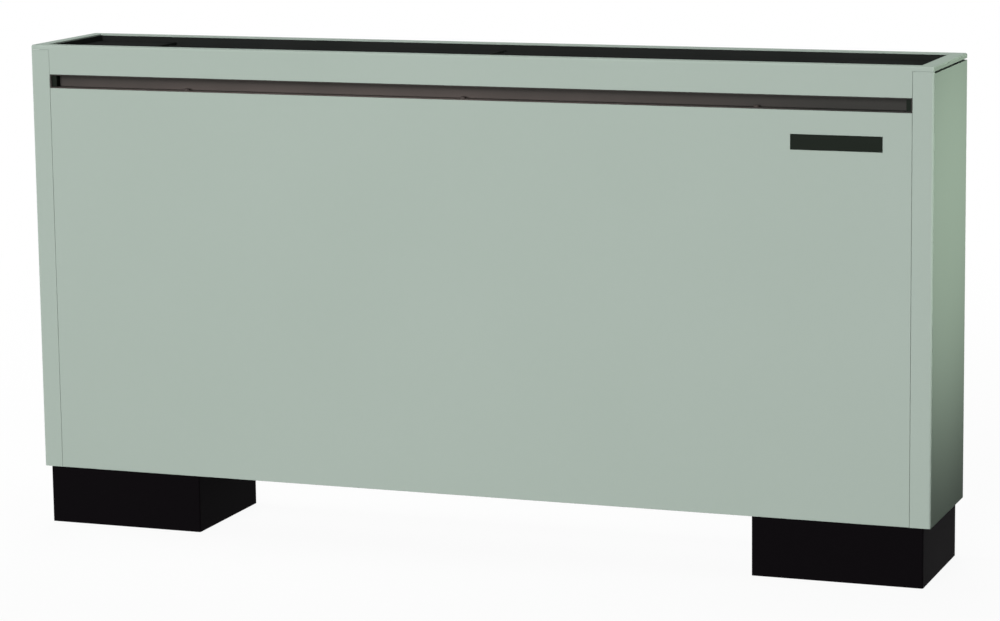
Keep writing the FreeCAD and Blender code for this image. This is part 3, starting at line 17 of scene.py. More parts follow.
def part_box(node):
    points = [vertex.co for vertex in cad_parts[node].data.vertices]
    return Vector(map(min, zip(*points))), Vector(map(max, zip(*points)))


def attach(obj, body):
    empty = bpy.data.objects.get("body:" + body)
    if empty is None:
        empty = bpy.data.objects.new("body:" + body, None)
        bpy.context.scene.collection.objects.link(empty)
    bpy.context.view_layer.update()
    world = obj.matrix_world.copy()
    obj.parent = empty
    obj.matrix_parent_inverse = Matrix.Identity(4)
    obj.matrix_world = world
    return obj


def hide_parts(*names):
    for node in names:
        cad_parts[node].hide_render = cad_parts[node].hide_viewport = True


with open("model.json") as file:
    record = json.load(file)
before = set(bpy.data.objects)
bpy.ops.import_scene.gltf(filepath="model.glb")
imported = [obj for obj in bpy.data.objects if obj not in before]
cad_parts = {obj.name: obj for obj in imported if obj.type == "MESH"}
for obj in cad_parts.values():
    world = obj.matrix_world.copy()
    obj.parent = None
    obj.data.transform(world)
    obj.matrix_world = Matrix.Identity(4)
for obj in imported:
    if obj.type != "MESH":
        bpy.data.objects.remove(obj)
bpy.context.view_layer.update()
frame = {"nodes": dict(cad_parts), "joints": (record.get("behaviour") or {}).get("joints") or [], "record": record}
nodes = frame["nodes"]
MM = 0.001

# %% [markdown]
# ## The camera
# The picture looks at the console from its right and a little above. The place of a camera can be found by
# eye or worked out from the lines in the picture. Here it was worked out: the edges of the cabinet, the feet
# and the slot fix the heading, the tilt and the distance, and a small lens shift sets the framing.

# %% Camera from its heading, tilt and roll
PHOTO_WIDTH = 1000
SENSOR_WIDTH = 36
HEADING = math.radians(-19.798)
TILT = math.radians(9.04)
ROLL = math.radians(-0.581)
FOCAL_PIXELS = 3303
CAMERA_PLACE = Vector((1.4859, -3.9009, 1.0251))
LENS_SHIFT = -0.0489
scene = bpy.context.scene


def aim(heading, tilt, roll):
    """Camera axes: right, up and the way back from the subject."""
    flat = math.cos(tilt)
    ahead = Vector((math.sin(heading) * flat, math.cos(heading) * flat, -math.sin(tilt)))
    level = Vector((math.cos(heading), -math.sin(heading), 0))
    upward = level.cross(ahead)
    right = level * math.cos(roll) + upward * math.sin(roll)
    up = upward * math.cos(roll) - level * math.sin(roll)
    return Matrix((right, up, -ahead)).transposed().to_4x4()


camera_data = bpy.data.cameras.new("photo_camera")
camera_data.sensor_width = SENSOR_WIDTH
camera_data.lens = FOCAL_PIXELS * SENSOR_WIDTH / PHOTO_WIDTH
camera_data.shift_x = LENS_SHIFT
camera_data.shift_y = LENS_SHIFT
camera = bpy.data.objects.new("photo_camera", camera_data)
camera.matrix_world = Matrix.Translation(CAMERA_PLACE) @ aim(HEADING, TILT, ROLL)
scene.collection.objects.link(camera)
scene.camera = camera
print("lens", round(camera_data.lens, 1), "mm")

# %% [markdown]
# ## Tools for shader nodes
# The studio's floor and sky and every finish are small trees of shader nodes. Most trees need the same few
# moves: clear the tree, add a node, link or set a socket, do one sum, blend two colours, close the tree. One
# helper for each move keeps a tree short enough to read at a glance.

# %% Node helpers
def clear_tree(owner):
    """The empty node tree of a material or of the world."""
    owner.use_nodes = True
    owner.node_tree.nodes.clear()
    return owner.node_tree


def add(tree, kind, **settings):
    node = tree.nodes.new(f"ShaderNode{kind}")
    for name, value in settings.items():
        setattr(node, name, value)
    return node


def feed(tree, value, socket):
    """Link a socket, or set a plain number or colour on it."""
    if isinstance(value, bpy.types.NodeSocket):
        tree.links.new(value, socket)
    else:
        socket.default_value = value


def sum_of(tree, operation, first, second):
    node = add(tree, "Math", operation=operation)
    feed(tree, first, node.inputs[0])
    feed(tree, second, node.inputs[1])
    return node.outputs[0]


def blend(tree, share, first, second):
    """A colour between two colours."""
    node = add(tree, "Mix", data_type="RGBA")
    feed(tree, share, node.inputs["Factor"])
    feed(tree, first, node.inputs[6])
    feed(tree, second, node.inputs[7])
    return node.outputs[2]


def ramp(tree, value, start, end, least, **settings):
    """A share that goes from a least value at the start to one at the end."""
    node = add(tree, "MapRange", **settings)
    for label, number in (("From Min", start), ("From Max", end), ("To Min", least)):
        node.inputs[label].default_value = number
    tree.links.new(value, node.inputs["Value"])
    return node.outputs["Result"]


def close_tree(tree, shader, kind="OutputMaterial"):
    out = add(tree, kind)
    tree.links.new(shader, out.inputs["Surface"])


print("helpers:", [tool.__name__ for tool in (clear_tree, add, feed, sum_of, blend, ramp, close_tree)])

# %% [markdown]
# ## Studio floor and sky
# The console stands on a white sweep. A lamp bright enough to burn the floor out would burn the paint out
# too, so the floor and the world answer camera rays with near white and other rays with a dim grey. Close to
# the console the floor is less white, so that its shadow stays.

# %% Floor and world
scene.view_settings.view_transform = "Standard"
FLOOR_HALF = 30
FLOOR_SEEN = (0.8, 0.8, 0.8, 1)
FLOOR_BOUNCE = (0.07, 0.067, 0.064, 1)
FLOOR_WHITE_NEAR = 0.935
SHADOW_REACH = (0.7, 2.6)
WORLD_COLOUR = (1, 1, 1, 1)
WORLD_LIGHT = 0.09
WORLD_SEEN = 1.0


def seen_rays(tree):
    """One where a ray comes from the camera, a mirror or glass, and so must see the white sweep."""
    path = add(tree, "LightPath")
    mask = path.outputs["Is Camera Ray"]
    for name in ("Is Glossy Ray", "Is Transmission Ray"):
        mask = sum_of(tree, "MAXIMUM", mask, path.outputs[name])
    return mask


def mixed(tree, share, first, second):
    """Two shaders as one, with a share of the second."""
    mix = add(tree, "MixShader")
    tree.links.new(share, mix.inputs[0])
    tree.links.new(first.outputs[0], mix.inputs[1])
    tree.links.new(second.outputs[0], mix.inputs[2])
    return mix.outputs[0]


def sweep_white():
    """The floor's material: near white when seen, less so near the console, and grey to other rays."""
    material = bpy.data.materials.new("studio_white")
    tree = clear_tree(material)
    rays = seen_rays(tree)
    plain = add(tree, "BsdfDiffuse")
    tree.links.new(blend(tree, rays, FLOOR_BOUNCE, FLOOR_SEEN), plain.inputs["Color"])
    where = add(tree, "TexCoord")
    away = add(tree, "VectorMath", operation="LENGTH")
    tree.links.new(where.outputs["Object"], away.inputs[0])
    whiteness = ramp(tree, away.outputs["Value"], *SHADOW_REACH, FLOOR_WHITE_NEAR)
    share = sum_of(tree, "MULTIPLY", rays, whiteness)
    close_tree(tree, mixed(tree, share, plain, add(tree, "Emission")))
    return material


def studio_floor():
    shape = bmesh.new()
    bmesh.ops.create_grid(shape, x_segments=1, y_segments=1, size=FLOOR_HALF)
    mesh = bpy.data.meshes.new("studio_floor")
    shape.to_mesh(mesh)
    shape.free()
    mesh.materials.append(sweep_white())
    floor = bpy.data.objects.new("studio_floor", mesh)
    scene.collection.objects.link(floor)


def studio_world():
    world = bpy.data.worlds.new("studio_world")
    scene.world = world
    tree = clear_tree(world)
    light, white = add(tree, "Background"), add(tree, "Background")
    for backdrop, strength in ((light, WORLD_LIGHT), (white, WORLD_SEEN)):
        backdrop.inputs["Color"].default_value = WORLD_COLOUR
        backdrop.inputs["Strength"].default_value = strength
    close_tree(tree, mixed(tree, seen_rays(tree), light, white), "OutputWorld")


studio_floor()
studio_world()
print("floor", 2 * FLOOR_HALF, "m wide, world light", WORLD_LIGHT)

# %% [markdown]
# ## Lamps
# Soft boxes suit a painted cabinet, as they leave no hard glints. A wide one far in front lights the panels
# evenly, a weak one overhead fills the cap, and two more light the back and the left end for the other
# views. A soft box at the right end would light the floor as well, so a spot with a wide soft rim is used
# there: its light fades out before it reaches the floor.

# %% Four soft lamps and a spot
MIDDLE = (0, 0, 0.36)
RIGHT_END = (0.6, 0.0, 0.47)
SPOT = dict(spot_size=math.radians(24), spot_blend=1.0, shadow_soft_size=0.12, color=(0.9, 1.0, 0.86))


def hang(name, kind, place, target, watts, **settings):
    """Put up a lamp and turn it towards its target."""
    data = bpy.data.lights.new(name, kind)
    data.energy = watts
    for label, value in settings.items():
        setattr(data, label, value)
    lamp = bpy.data.objects.new(name, data)
    lamp.location = place
    lamp.rotation_euler = (Vector(target) - Vector(place)).to_track_quat("-Z", "Y").to_euler()
    scene.collection.objects.link(lamp)


hang("front_lamp", "AREA", (-0.5, -6.5, 1.9), MIDDLE, 470, size=4.0)
hang("top_lamp", "AREA", (0, 0.25, 3.5), MIDDLE, 15, size=1.2)
hang("right_end_spot", "SPOT", (2.3, 0.1, 1.0), RIGHT_END, 100, **SPOT)
hang("back_lamp", "AREA", (-1.2, 5.0, 2.4), MIDDLE, 220, size=3.0)
hang("left_end_lamp", "AREA", (-3.6, 0.4, 1.6), MIDDLE, 60, size=1.6)

# %% [markdown]
# ## Tools for finishes
# A real finish is seldom the same all over. Noise on the object's own coordinates gives it clouds and grain
# that stay put when a part moves. Finishes of one kind share a node group, and every group gives the same
# three things: a colour, a roughness and a height.

# %% Noise and group helpers
SURFACE = (("Colour", "Color"), ("Roughness", "Float"), ("Height", "Float"))


def noise(tree, scale, detail, stretch=(1, 1, 1)):
    """Cloudy noise on object coordinates, drawn out along an axis where stretch says so."""
    where = add(tree, "TexCoord")
    mapping = add(tree, "Mapping")
    mapping.inputs["Scale"].default_value = stretch
    tree.links.new(where.outputs["Object"], mapping.inputs["Vector"])
    cloud = add(tree, "TexNoise")
    tree.links.new(mapping.outputs[0], cloud.inputs["Vector"])
    cloud.inputs["Scale"].default_value = scale
    cloud.inputs["Detail"].default_value = detail
    return cloud.outputs["Fac"]


def cells(tree, scale):
    """A Voronoi pattern on object coordinates."""
    where = add(tree, "TexCoord")
    pattern = add(tree, "TexVoronoi")
    tree.links.new(where.outputs["Object"], pattern.inputs["Vector"])
    feed(tree, scale, pattern.inputs["Scale"])
    return pattern


def plus_share(tree, start, value, share):
    """A start value and a share of another value on top of it."""
    return sum_of(tree, "ADD", start, sum_of(tree, "MULTIPLY", value, share))


def open_group(name, *inputs):
    """An empty node group with its named sockets, and the outputs of its entry."""
    group = bpy.data.node_groups.new(name, "ShaderNodeTree")
    for label, kind, value in inputs:
        socket = group.interface.new_socket(label, in_out="INPUT", socket_type=f"NodeSocket{kind}")
        socket.default_value = value
    for label, kind in SURFACE:
        group.interface.new_socket(label, in_out="OUTPUT", socket_type=f"NodeSocket{kind}")
    return group, group.nodes.new("NodeGroupInput").outputs


def close_group(group, colour, roughness, height):
    leave = group.nodes.new("NodeGroupOutput")
    for (label, _), value in zip(SURFACE, (colour, roughness, height)):
        group.links.new(value, leave.inputs[label])
    return group


print("a group gives", [label for label, _ in SURFACE])

# %% [markdown]
# ## Sprayed paint
# Oven-dried spray paint is never a flat colour. It dries into a faint orange peel, its tone drifts a little
# over a large sheet, and handling leaves it slightly duller in patches. One group gives all three, because
# the cabinet, the feet and the motor are all sprayed and differ only in colour and in how much of each shows.

# %% Group for sprayed paint
PAINT_PATCHES = (4.5, 4.0)  # scale and detail of a noise, here and below
PAINT_MIST = (90.0, 2.0)
ORANGE_PEEL = (520.0, 1.5)
PATCH_SHARE = 0.75
PAINT_DULLING = 0.16


def sprayed_paint():
    group, enter = open_group(
        "sprayed_paint",
        ("Colour", "Color", (0.5, 0.5, 0.5, 1)),
        ("Shade", "Color", (0.4, 0.4, 0.4, 1)),
        ("Drift", "Float", 0.3),
        ("Gloss", "Float", 0.45),
    )
    patches = noise(group, *PAINT_PATCHES)
    mist = noise(group, *PAINT_MIST)
    cloud = plus_share(group, sum_of(group, "MULTIPLY", patches, PATCH_SHARE), mist, 1 - PATCH_SHARE)
    share = sum_of(group, "MULTIPLY", cloud, enter["Drift"])
    tone = blend(group, share, enter["Colour"], enter["Shade"])
    rough = plus_share(group, enter["Gloss"], patches, PAINT_DULLING)
    return close_group(group, tone, rough, noise(group, *ORANGE_PEEL))


PAINT = sprayed_paint()
print("group", PAINT.name)

# %% [markdown]
# ## Moulded plastic
# Grille frames, knobs and trays come out of a mould whose walls are etched, so the plastic has a fine
# leathery grain. A Voronoi pattern gives the pebbles and a soft noise gives the faint flow marks.

# %% Group for moulded plastic
PEBBLE_CELLS = 900
FLOW_MARKS = (14.0, 4.0)
PLASTIC_DULLING = 0.2


def moulded_plastic():
    group, enter = open_group(
        "moulded_plastic",
        ("Colour", "Color", (0.1, 0.1, 0.1, 1)),
        ("Dust_and_light", "Color", (0.3, 0.29, 0.27, 1)),
        ("Dusting", "Float", 0.12),
        ("Gloss", "Float", 0.5),
    )
    pebbles = cells(group, PEBBLE_CELLS)
    flow = noise(group, *FLOW_MARKS)
    share = sum_of(group, "MULTIPLY", flow, enter["Dusting"])
    tone = blend(group, share, enter["Colour"], enter["Dust_and_light"])
    rough = plus_share(group, enter["Gloss"], flow, PLASTIC_DULLING)
    return close_group(group, tone, rough, pebbles.outputs["Distance"])


PLASTIC = moulded_plastic()
print("group", PLASTIC.name)

# %% [markdown]
# ## Zinc and drawn metal
# Hot-dip galvanised sheet freezes into flat crystals, the spangle, each a slightly different grey. Drawn
# tube, rolled fins and turned bushes instead carry fine lines along the way they were worked. The first is a
# Voronoi cell colour, the second a noise stretched along one axis.

# %% Groups for spangled zinc and for drawn metal
ZINC_STAIN = (6.0, 4.0)
ZINC_SHADE_SHARE = 0.4
ZINC_ROUGHNESS, ZINC_ROUGHNESS_SPAN = 0.34, 0.22
WORKED_LINES = (160.0, 3.0)
TARNISH_STAIN = (22.0, 4.0)
LINE_ROUGHNESS, LINE_ROUGHNESS_SPAN = 0.2, 0.25


def spangled_zinc():
    group, enter = open_group(
        "spangled_zinc",
        ("Colour", "Color", (0.5, 0.5, 0.5, 1)),
        ("Shade", "Color", (0.3, 0.3, 0.3, 1)),
        ("Cells", "Float", 75.0),
    )
    crystals = cells(group, enter["Cells"])
    grey = add(group, "RGBToBW")
    group.links.new(crystals.outputs["Color"], grey.inputs[0])
    stained = sum_of(group, "ADD", grey.outputs[0], noise(group, *ZINC_STAIN))
    share = sum_of(group, "MULTIPLY", stained, ZINC_SHADE_SHARE)
    tone = blend(group, share, enter["Colour"], enter["Shade"])
    rough = plus_share(group, ZINC_ROUGHNESS, grey.outputs[0], ZINC_ROUGHNESS_SPAN)
    return close_group(group, tone, rough, crystals.outputs["Distance"])


def drawn_metal(name, stretch):
    group, enter = open_group(
        name,
        ("Colour", "Color", (0.6, 0.5, 0.4, 1)),
        ("Tarnish", "Color", (0.3, 0.2, 0.1, 1)),
        ("Age", "Float", 0.4),
    )
    lines = noise(group, *WORKED_LINES, stretch)
    share = sum_of(group, "MULTIPLY", noise(group, *TARNISH_STAIN), enter["Age"])
    tone = blend(group, share, enter["Colour"], enter["Tarnish"])
    rough = plus_share(group, LINE_ROUGHNESS, lines, LINE_ROUGHNESS_SPAN)
    return close_group(group, tone, rough, lines)


ZINC = spangled_zinc()
DRAWN = drawn_metal("drawn_metal", (0.05, 1, 1))
ROLLED = drawn_metal("rolled_metal", (1, 0.15, 0.15))
print("groups", ZINC.name, DRAWN.name, ROLLED.name)

# %% [markdown]
# ## One finish for every solid
# Each finish places one of the groups in its own material, with the shader beside it. What is the same all
# over the surface, such as how metallic it is, is set on the shader. What changes over the surface is linked.

# %% Build a finish from a group
def finish(name, group, relief, metallic=0.0, specular=0.5, **values):
    """A material: the group's colour, roughness and height on one Principled shader."""
    material = bpy.data.materials.new(name)
    tree = clear_tree(material)
    surface = add(tree, "Group", node_tree=group)
    for label, value in values.items():
        surface.inputs[label].default_value = value
    bump = add(tree, "Bump")
    bump.inputs["Strength"].default_value = 1.0
    bump.inputs["Distance"].default_value = relief
    tree.links.new(surface.outputs["Height"], bump.inputs["Height"])
    shader = add(tree, "BsdfPrincipled")
    shader.inputs["Metallic"].default_value = metallic
    shader.inputs["Specular IOR Level"].default_value = specular
    tree.links.new(surface.outputs["Colour"], shader.inputs["Base Color"])
    tree.links.new(surface.outputs["Roughness"], shader.inputs["Roughness"])
    tree.links.new(bump.outputs[0], shader.inputs["Normal"])
    close_tree(tree, shader.outputs[0])
    return material


SPANGLE = 0.03 * MM
FINISHES = {
    "galvanised": finish(
        "galvanised", ZINC, SPANGLE, metallic=0.85, Colour=(0.5, 0.52, 0.54, 1), Shade=(0.2, 0.215, 0.23, 1)
    )
}
print("made", list(FINISHES))

# %% [markdown]
# ## Paints, plastics and metals
# A maker buys these finishes from a colour card, so they are three tables, one for each group, with a row
# for each finish. Writing a material out by hand for each row would hide what differs between them.

# %% Tables of paints, plastics and metals
PEEL = 0.04 * MM
PEBBLE = 0.04 * MM
LINE = 0.02 * MM
PAINTS = {  # colour, shade, drift, gloss, specular
    "sage_paint": ((0.415, 0.487, 0.438), (0.385, 0.458, 0.405), 0.9, 0.5, 0.0),
    "foot_black": ((0.0022, 0.0016, 0.0022), (0.006, 0.005, 0.006), 0.5, 0.65, 0.02),
    "motor_paint": ((0.07, 0.08, 0.09), (0.12, 0.12, 0.12), 0.7, 0.4, 0.4),
    "screw_black": ((0.06, 0.048, 0.044), (0.085, 0.07, 0.065), 0.6, 0.5, 0.1),
}
PLASTICS = {  # colour, dust, dusting, gloss, specular
    "plate_black": ((0.006, 0.0095, 0.006), (0.022, 0.026, 0.022), 0.25, 0.5, 0.06),
    "grille_black": ((0.018, 0.02, 0.019), (0.06, 0.06, 0.057), 0.2, 0.6, 0.0),
    "knob_ivory": ((0.62, 0.6, 0.52), (0.4, 0.38, 0.33), 0.25, 0.3, 0.5),
    "fan_grey": ((0.05, 0.065, 0.085), (0.2, 0.2, 0.2), 0.3, 0.5, 0.3),
    "rubber": ((0.014, 0.014, 0.014), (0.1, 0.1, 0.1), 0.2, 0.75, 0.3),
    "pan_plastic": ((0.045, 0.047, 0.05), (0.2, 0.19, 0.17), 0.25, 0.55, 0.4),
    "filter_plastic": ((0.075, 0.085, 0.095), (0.25, 0.24, 0.22), 0.25, 0.5, 0.3),
    "grey_plastic": ((0.33, 0.34, 0.34), (0.22, 0.21, 0.19), 0.4, 0.45, 0.4),
}
METALS = {  # group, colour, tarnish, age
    "zinc_steel": (ROLLED, (0.62, 0.62, 0.6), (0.35, 0.33, 0.29), 0.4),
    "bearing_bronze": (DRAWN, (0.5, 0.33, 0.16), (0.2, 0.13, 0.07), 0.6),
    "fin_aluminium": (ROLLED, (0.74, 0.76, 0.77), (0.45, 0.46, 0.47), 0.5),
    "copper": (DRAWN, (0.66, 0.33, 0.2), (0.26, 0.12, 0.07), 0.6),
    "vent_brass": (DRAWN, (0.62, 0.46, 0.2), (0.3, 0.2, 0.08), 0.5),
}
for name, (colour, shade, drift, gloss, specular) in PAINTS.items():
    values = dict(Colour=(*colour, 1), Shade=(*shade, 1), Drift=drift, Gloss=gloss)
    FINISHES[name] = finish(name, PAINT, PEEL, specular=specular, **values)
for name, (colour, dust, dusting, gloss, specular) in PLASTICS.items():
    values = dict(Colour=(*colour, 1), Dust_and_light=(*dust, 1), Dusting=dusting, Gloss=gloss)
    FINISHES[name] = finish(name, PLASTIC, PEBBLE, specular=specular, **values)
for name, (group, colour, tarnish, age) in METALS.items():
    values = dict(Colour=(*colour, 1), Tarnish=(*tarnish, 1), Age=age)
    FINISHES[name] = finish(name, group, LINE, metallic=1.0, **values)
print(len(FINISHES), "finishes")

# %% [markdown]
# ## The filter's net
# The filter is a plastic net woven from thin thread. A real net of this size has tens of thousands of
# crossings, far too many to model, so two crossed wave patterns give the threads their height and leave the
# gaps between them dark.

# %% Woven net finish
NET_THREADS_PER_METRE = 420
THREAD = 0.4 * MM
THREAD_SHARPNESS = 2.0
LINT = (9.0, 4.0)
LINT_COLOUR = (0.3, 0.29, 0.27, 1)
LINT_SHARE = 0.25
NET_ROUGHNESS, NET_ROUGHNESS_SPAN = 0.6, 0.2
NET_SPECULAR = 0.3


def woven_net():
    group, enter = open_group(
        "woven_net", ("Colour", "Color", (0.25, 0.27, 0.28, 1)), ("Gap", "Color", (0.02, 0.02, 0.02, 1))
    )
    where = add(group, "TexCoord")
    heights = []
    for direction in ("X", "Y"):
        threads = add(group, "TexWave", wave_type="BANDS", bands_direction=direction)
        # At a scale of one, a wave has a little over three bands to the metre.
        threads.inputs["Scale"].default_value = NET_THREADS_PER_METRE / math.pi
        group.links.new(where.outputs["Object"], threads.inputs["Vector"])
        heights.append(threads.outputs["Fac"])
    top = sum_of(group, "MAXIMUM", *heights)
    gap = sum_of(group, "SUBTRACT", 1.0, sum_of(group, "POWER", top, THREAD_SHARPNESS))
    tone = blend(group, gap, enter["Colour"], enter["Gap"])
    lint = noise(group, *LINT)
    tone = blend(group, sum_of(group, "MULTIPLY", lint, LINT_SHARE), tone, LINT_COLOUR)
    rough = plus_share(group, NET_ROUGHNESS, lint, NET_ROUGHNESS_SPAN)
    return close_group(group, tone, rough, top)


FINISHES["filter_mesh"] = finish("filter_mesh", woven_net(), THREAD, specular=NET_SPECULAR)
print("net threads per metre", NET_THREADS_PER_METRE)

# %% [markdown]
# ## Painted shade in the channel of the slot
# The long front slot is a brown moulded channel. Its colour holds painted shade. The brown is darker in the upper
# half, under the top lip, and darker towards the two closed ends. It is lightest low down, a little left of the
# middle.
# The painted light is a blend that follows the channel's height and length, with some noise to break it up.

# %% Channel finish with painted shade under the lip and at the ends
# Where the painted light is lightest along the slot, how far it reaches, its least share under the top lip, and
# the noise that breaks it up.
PAINTED_LIGHT_MIDDLE = -0.15
PAINTED_LIGHT_HALF_LENGTH = 0.62
PAINTED_LIGHT_UNDER_LIP = 0.2
PAINTED_LIGHT_CLOUD = (11.0, 4.0)
PAINTED_LIGHT_CLOUD_LEAST = 0.5
PAINTED_LIGHT_DULLING = 0.2
CHANNEL_GRAIN = (700.0, 2.0)
CHANNEL_SPECULAR = 0.15


def dusty_channel():
    # The first colour is the channel's painted shade, and the second is its lighter, painted-lit brown.
    group, enter = open_group(
        "dusty_channel",
        ("Colour", "Color", (0.027, 0.026, 0.023, 1)),
        ("Dust_and_light", "Color", (0.088, 0.073, 0.067, 1)),
        ("Gloss", "Float", 0.6),
    )
    low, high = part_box("slot_trim")
    where = add(group, "TexCoord")
    axes = add(group, "SeparateXYZ")
    group.links.new(where.outputs["Object"], axes.inputs[0])
    # Painted shade: less of the lighter brown towards the top, under the lip.
    lit_below_lip = ramp(group, axes.outputs["Z"], high.z, low.z, PAINTED_LIGHT_UNDER_LIP, interpolation_type="SMOOTHSTEP")
    # Painted shade: the lighter brown fades towards the two ends of the slot.
    across = sum_of(group, "SUBTRACT", axes.outputs["X"], PAINTED_LIGHT_MIDDLE)
    away = sum_of(group, "DIVIDE", across, PAINTED_LIGHT_HALF_LENGTH)
    lit_away_from_ends = sum_of(group, "SUBTRACT", 1.0, sum_of(group, "POWER", away, 2.0))
    lit_away_from_ends = sum_of(group, "MAXIMUM", lit_away_from_ends, 0.0)
    cloud = sum_of(group, "ADD", noise(group, *PAINTED_LIGHT_CLOUD), PAINTED_LIGHT_CLOUD_LEAST)
    share = sum_of(group, "MULTIPLY", sum_of(group, "MULTIPLY", lit_away_from_ends, lit_below_lip), cloud)
    tone = blend(group, share, enter["Colour"], enter["Dust_and_light"])
    rough = plus_share(group, enter["Gloss"], share, PAINTED_LIGHT_DULLING)
    return close_group(group, tone, rough, noise(group, *CHANNEL_GRAIN))


FINISHES["slot_brown"] = finish("slot_brown", dusty_channel(), PEBBLE, specular=CHANNEL_SPECULAR)
# Prints where the painted light is strongest along the slot.
print("painted light is strongest at", PAINTED_LIGHT_MIDDLE)

# %% [markdown]
# ## Dress the solids
# The record says which finish each solid takes. A solid that has the right shape keeps it and only gets its
# finish, so that what is seen and what is simulated stay the same thing.

# %% Put each finish on its solids
slot_of = {part["node"]: part["material_slot"] for part in frame["record"]["subparts"]}
for name, solid in nodes.items():
    solid.data.materials.clear()
    solid.data.materials.append(FINISHES[slot_of[name]])
print("dressed", len(nodes), "solids")

# %% [markdown]
# ## Fins of the coil
# A coil is a stack of thin aluminium fins on copper tubes. The solid has a coarse stack, enough for its
# weight and outline. Seen through the louvres the real one is a fine comb, so a finer stack takes its place:
# one thin plate, copied along the coil by a spin of no angle, which is how bmesh makes a straight row.

# %% Fine fin stack
FIN_PITCH = 3.2 * MM
FIN_SHEET = 0.5 * MM
vent_joint = next(joint for joint in frame["joints"] if joint["name"] == "air_vent_turn")
vent_axis = Vector(vent_joint["axis"])
COIL_LEAN = -math.atan2(vent_axis.y, vent_axis.z)


def new_piece(name, shape, slot, body="cabinet"):
    """Finish a bmesh as a piece of the object: normals out, finish on, riding on its body."""
    bmesh.ops.recalc_face_normals(shape, faces=shape.faces)
    mesh = bpy.data.meshes.new(name)
    shape.to_mesh(mesh)
    shape.free()
    mesh.materials.append(FINISHES[slot])
    piece = bpy.data.objects.new(name, mesh)
    scene.collection.objects.link(piece)
    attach(piece, body)
    return piece


def box_in(shape, low, high):
    """A block between two corners."""
    low, high = Vector(low), Vector(high)
    made = bmesh.ops.create_cube(shape, size=1)["verts"]
    bmesh.ops.scale(shape, vec=high - low, verts=made)
    bmesh.ops.translate(shape, vec=(high + low) / 2, verts=made)
    return made


def all_of(shape):
    return [*shape.verts, *shape.edges, *shape.faces]


def coil_axes():
    """The coil's place and lean, and its half sizes across its lean, read from its solid."""
    low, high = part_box("coil_fins")
    centre = (low + high) / 2
    lean = Matrix.Rotation(COIL_LEAN, 3, "X")
    local = [lean.inverted() @ (vertex.co - centre) for vertex in nodes["coil_fins"].data.vertices]
    half = [max(abs(point[axis]) for point in local) for axis in range(3)]
    return Matrix.Translation(centre) @ lean.to_4x4(), half


def fin_stack():
    place, half = coil_axes()
    shape = bmesh.new()
    box_in(shape, (-half[0], -half[1], -half[2]), (-half[0] + FIN_SHEET, half[1], half[2]))
    run = 2 * half[0] - FIN_SHEET
    count = int(run / FIN_PITCH)
    bmesh.ops.spin(
        shape,
        geom=all_of(shape),
        cent=(0, 0, 0),
        axis=(1, 0, 0),
        dvec=(run / count, 0, 0),
        angle=0,
        steps=count,
        use_duplicate=True,
    )
    bmesh.ops.transform(shape, matrix=place, verts=shape.verts)
    stack = new_piece("fin_stack", shape, "fin_aluminium")
    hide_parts("coil_fins")
    print("fins", count + 1, "half sizes", [round(size, 4) for size in half])


fin_stack()

# %% [markdown]
# ## Tubes of the coil
# Twelve copper tubes run through the fins in two rows, and the hairpins and the headers at the ends join
# them. They could be left out, as little of them shows between the fins, but looking down through the
# louvres a real coil has that copper gleam. Each tube is one round bar on the lines that the hairpins give.

# %% Copper tubes through the fins
TUBES_PER_ROW = 6
TUBE_RADIUS = 6.3 * MM
TUBE_SIDES = 16


def rod_in(shape, radius, start, end):
    """A round bar from one point to another."""
    start, end = Vector(start), Vector(end)
    along = end - start
    made = bmesh.ops.create_cone(
        shape, cap_ends=True, segments=TUBE_SIDES, radius1=radius, radius2=radius, depth=along.length
    )["verts"]
    turn = Vector((0, 0, 1)).rotation_difference(along).to_matrix().to_4x4()
    bmesh.ops.transform(shape, matrix=Matrix.Translation((start + end) / 2) @ turn, verts=made)


def coil_tubes():
    place, half = coil_axes()
    shape = bmesh.new()
    pitch = 2 * half[2] / TUBES_PER_ROW
    for across in (-half[1] / 2, half[1] / 2):
        for number in range(TUBES_PER_ROW):
            up = (number + 0.5) * pitch - half[2]
            rod_in(shape, TUBE_RADIUS, (-half[0], across, up), (half[0], across, up))
    bmesh.ops.transform(shape, matrix=place, verts=shape.verts)
    new_piece("coil_tubes", shape, "copper")


coil_tubes()
print("tubes", 2 * TUBES_PER_ROW)

# %% [markdown]
# ## Painted shade at the ends of the front slot
# The long slot is a folded channel. A black block stands in each of its two ends as painted shade, where the ends
# of the channel are in shadow. Each block has rolled edges, so one bevel of a cube is
# enough for it.

# %% Two black blocks of painted shade at the slot's ends
SHADE_BLOCK_LENGTH = 8 * MM
SHADE_BLOCK_ROLL = 0.6 * MM
SHADE_BLOCK_ROLL_STEPS = 3
CHANNEL_WALL = 1.4 * MM
SHADE_BLOCK_SINK = 2.5 * MM


def bevelled(shape, edges, offset, segments):
    bmesh.ops.bevel(
        shape, geom=edges, offset=offset, offset_type="OFFSET", segments=segments, profile=0.5,
        affect="EDGES", material=-1,
    )


# A black block of painted shade in one end of the slot's channel.
def slot_stop(name, side):
    low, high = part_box("slot_trim")
    shape = bmesh.new()
    reach = sorted((side * (high.x - SHADE_BLOCK_LENGTH), side * (high.x - SHADE_BLOCK_ROLL)))
    box_in(
        shape,
        (reach[0], low.y + SHADE_BLOCK_SINK, low.z + CHANNEL_WALL),
        (reach[1], high.y - CHANNEL_WALL, high.z - CHANNEL_WALL),
    )
    bevelled(shape, list(shape.edges), SHADE_BLOCK_ROLL, SHADE_BLOCK_ROLL_STEPS)
    new_piece(name, shape, "plate_black")


slot_stop("slot_end_shade_left", -1)
slot_stop("slot_end_shade_right", 1)
# Prints the length of the blocks of painted shade.
print("shade_blocks", SHADE_BLOCK_LENGTH, "long")

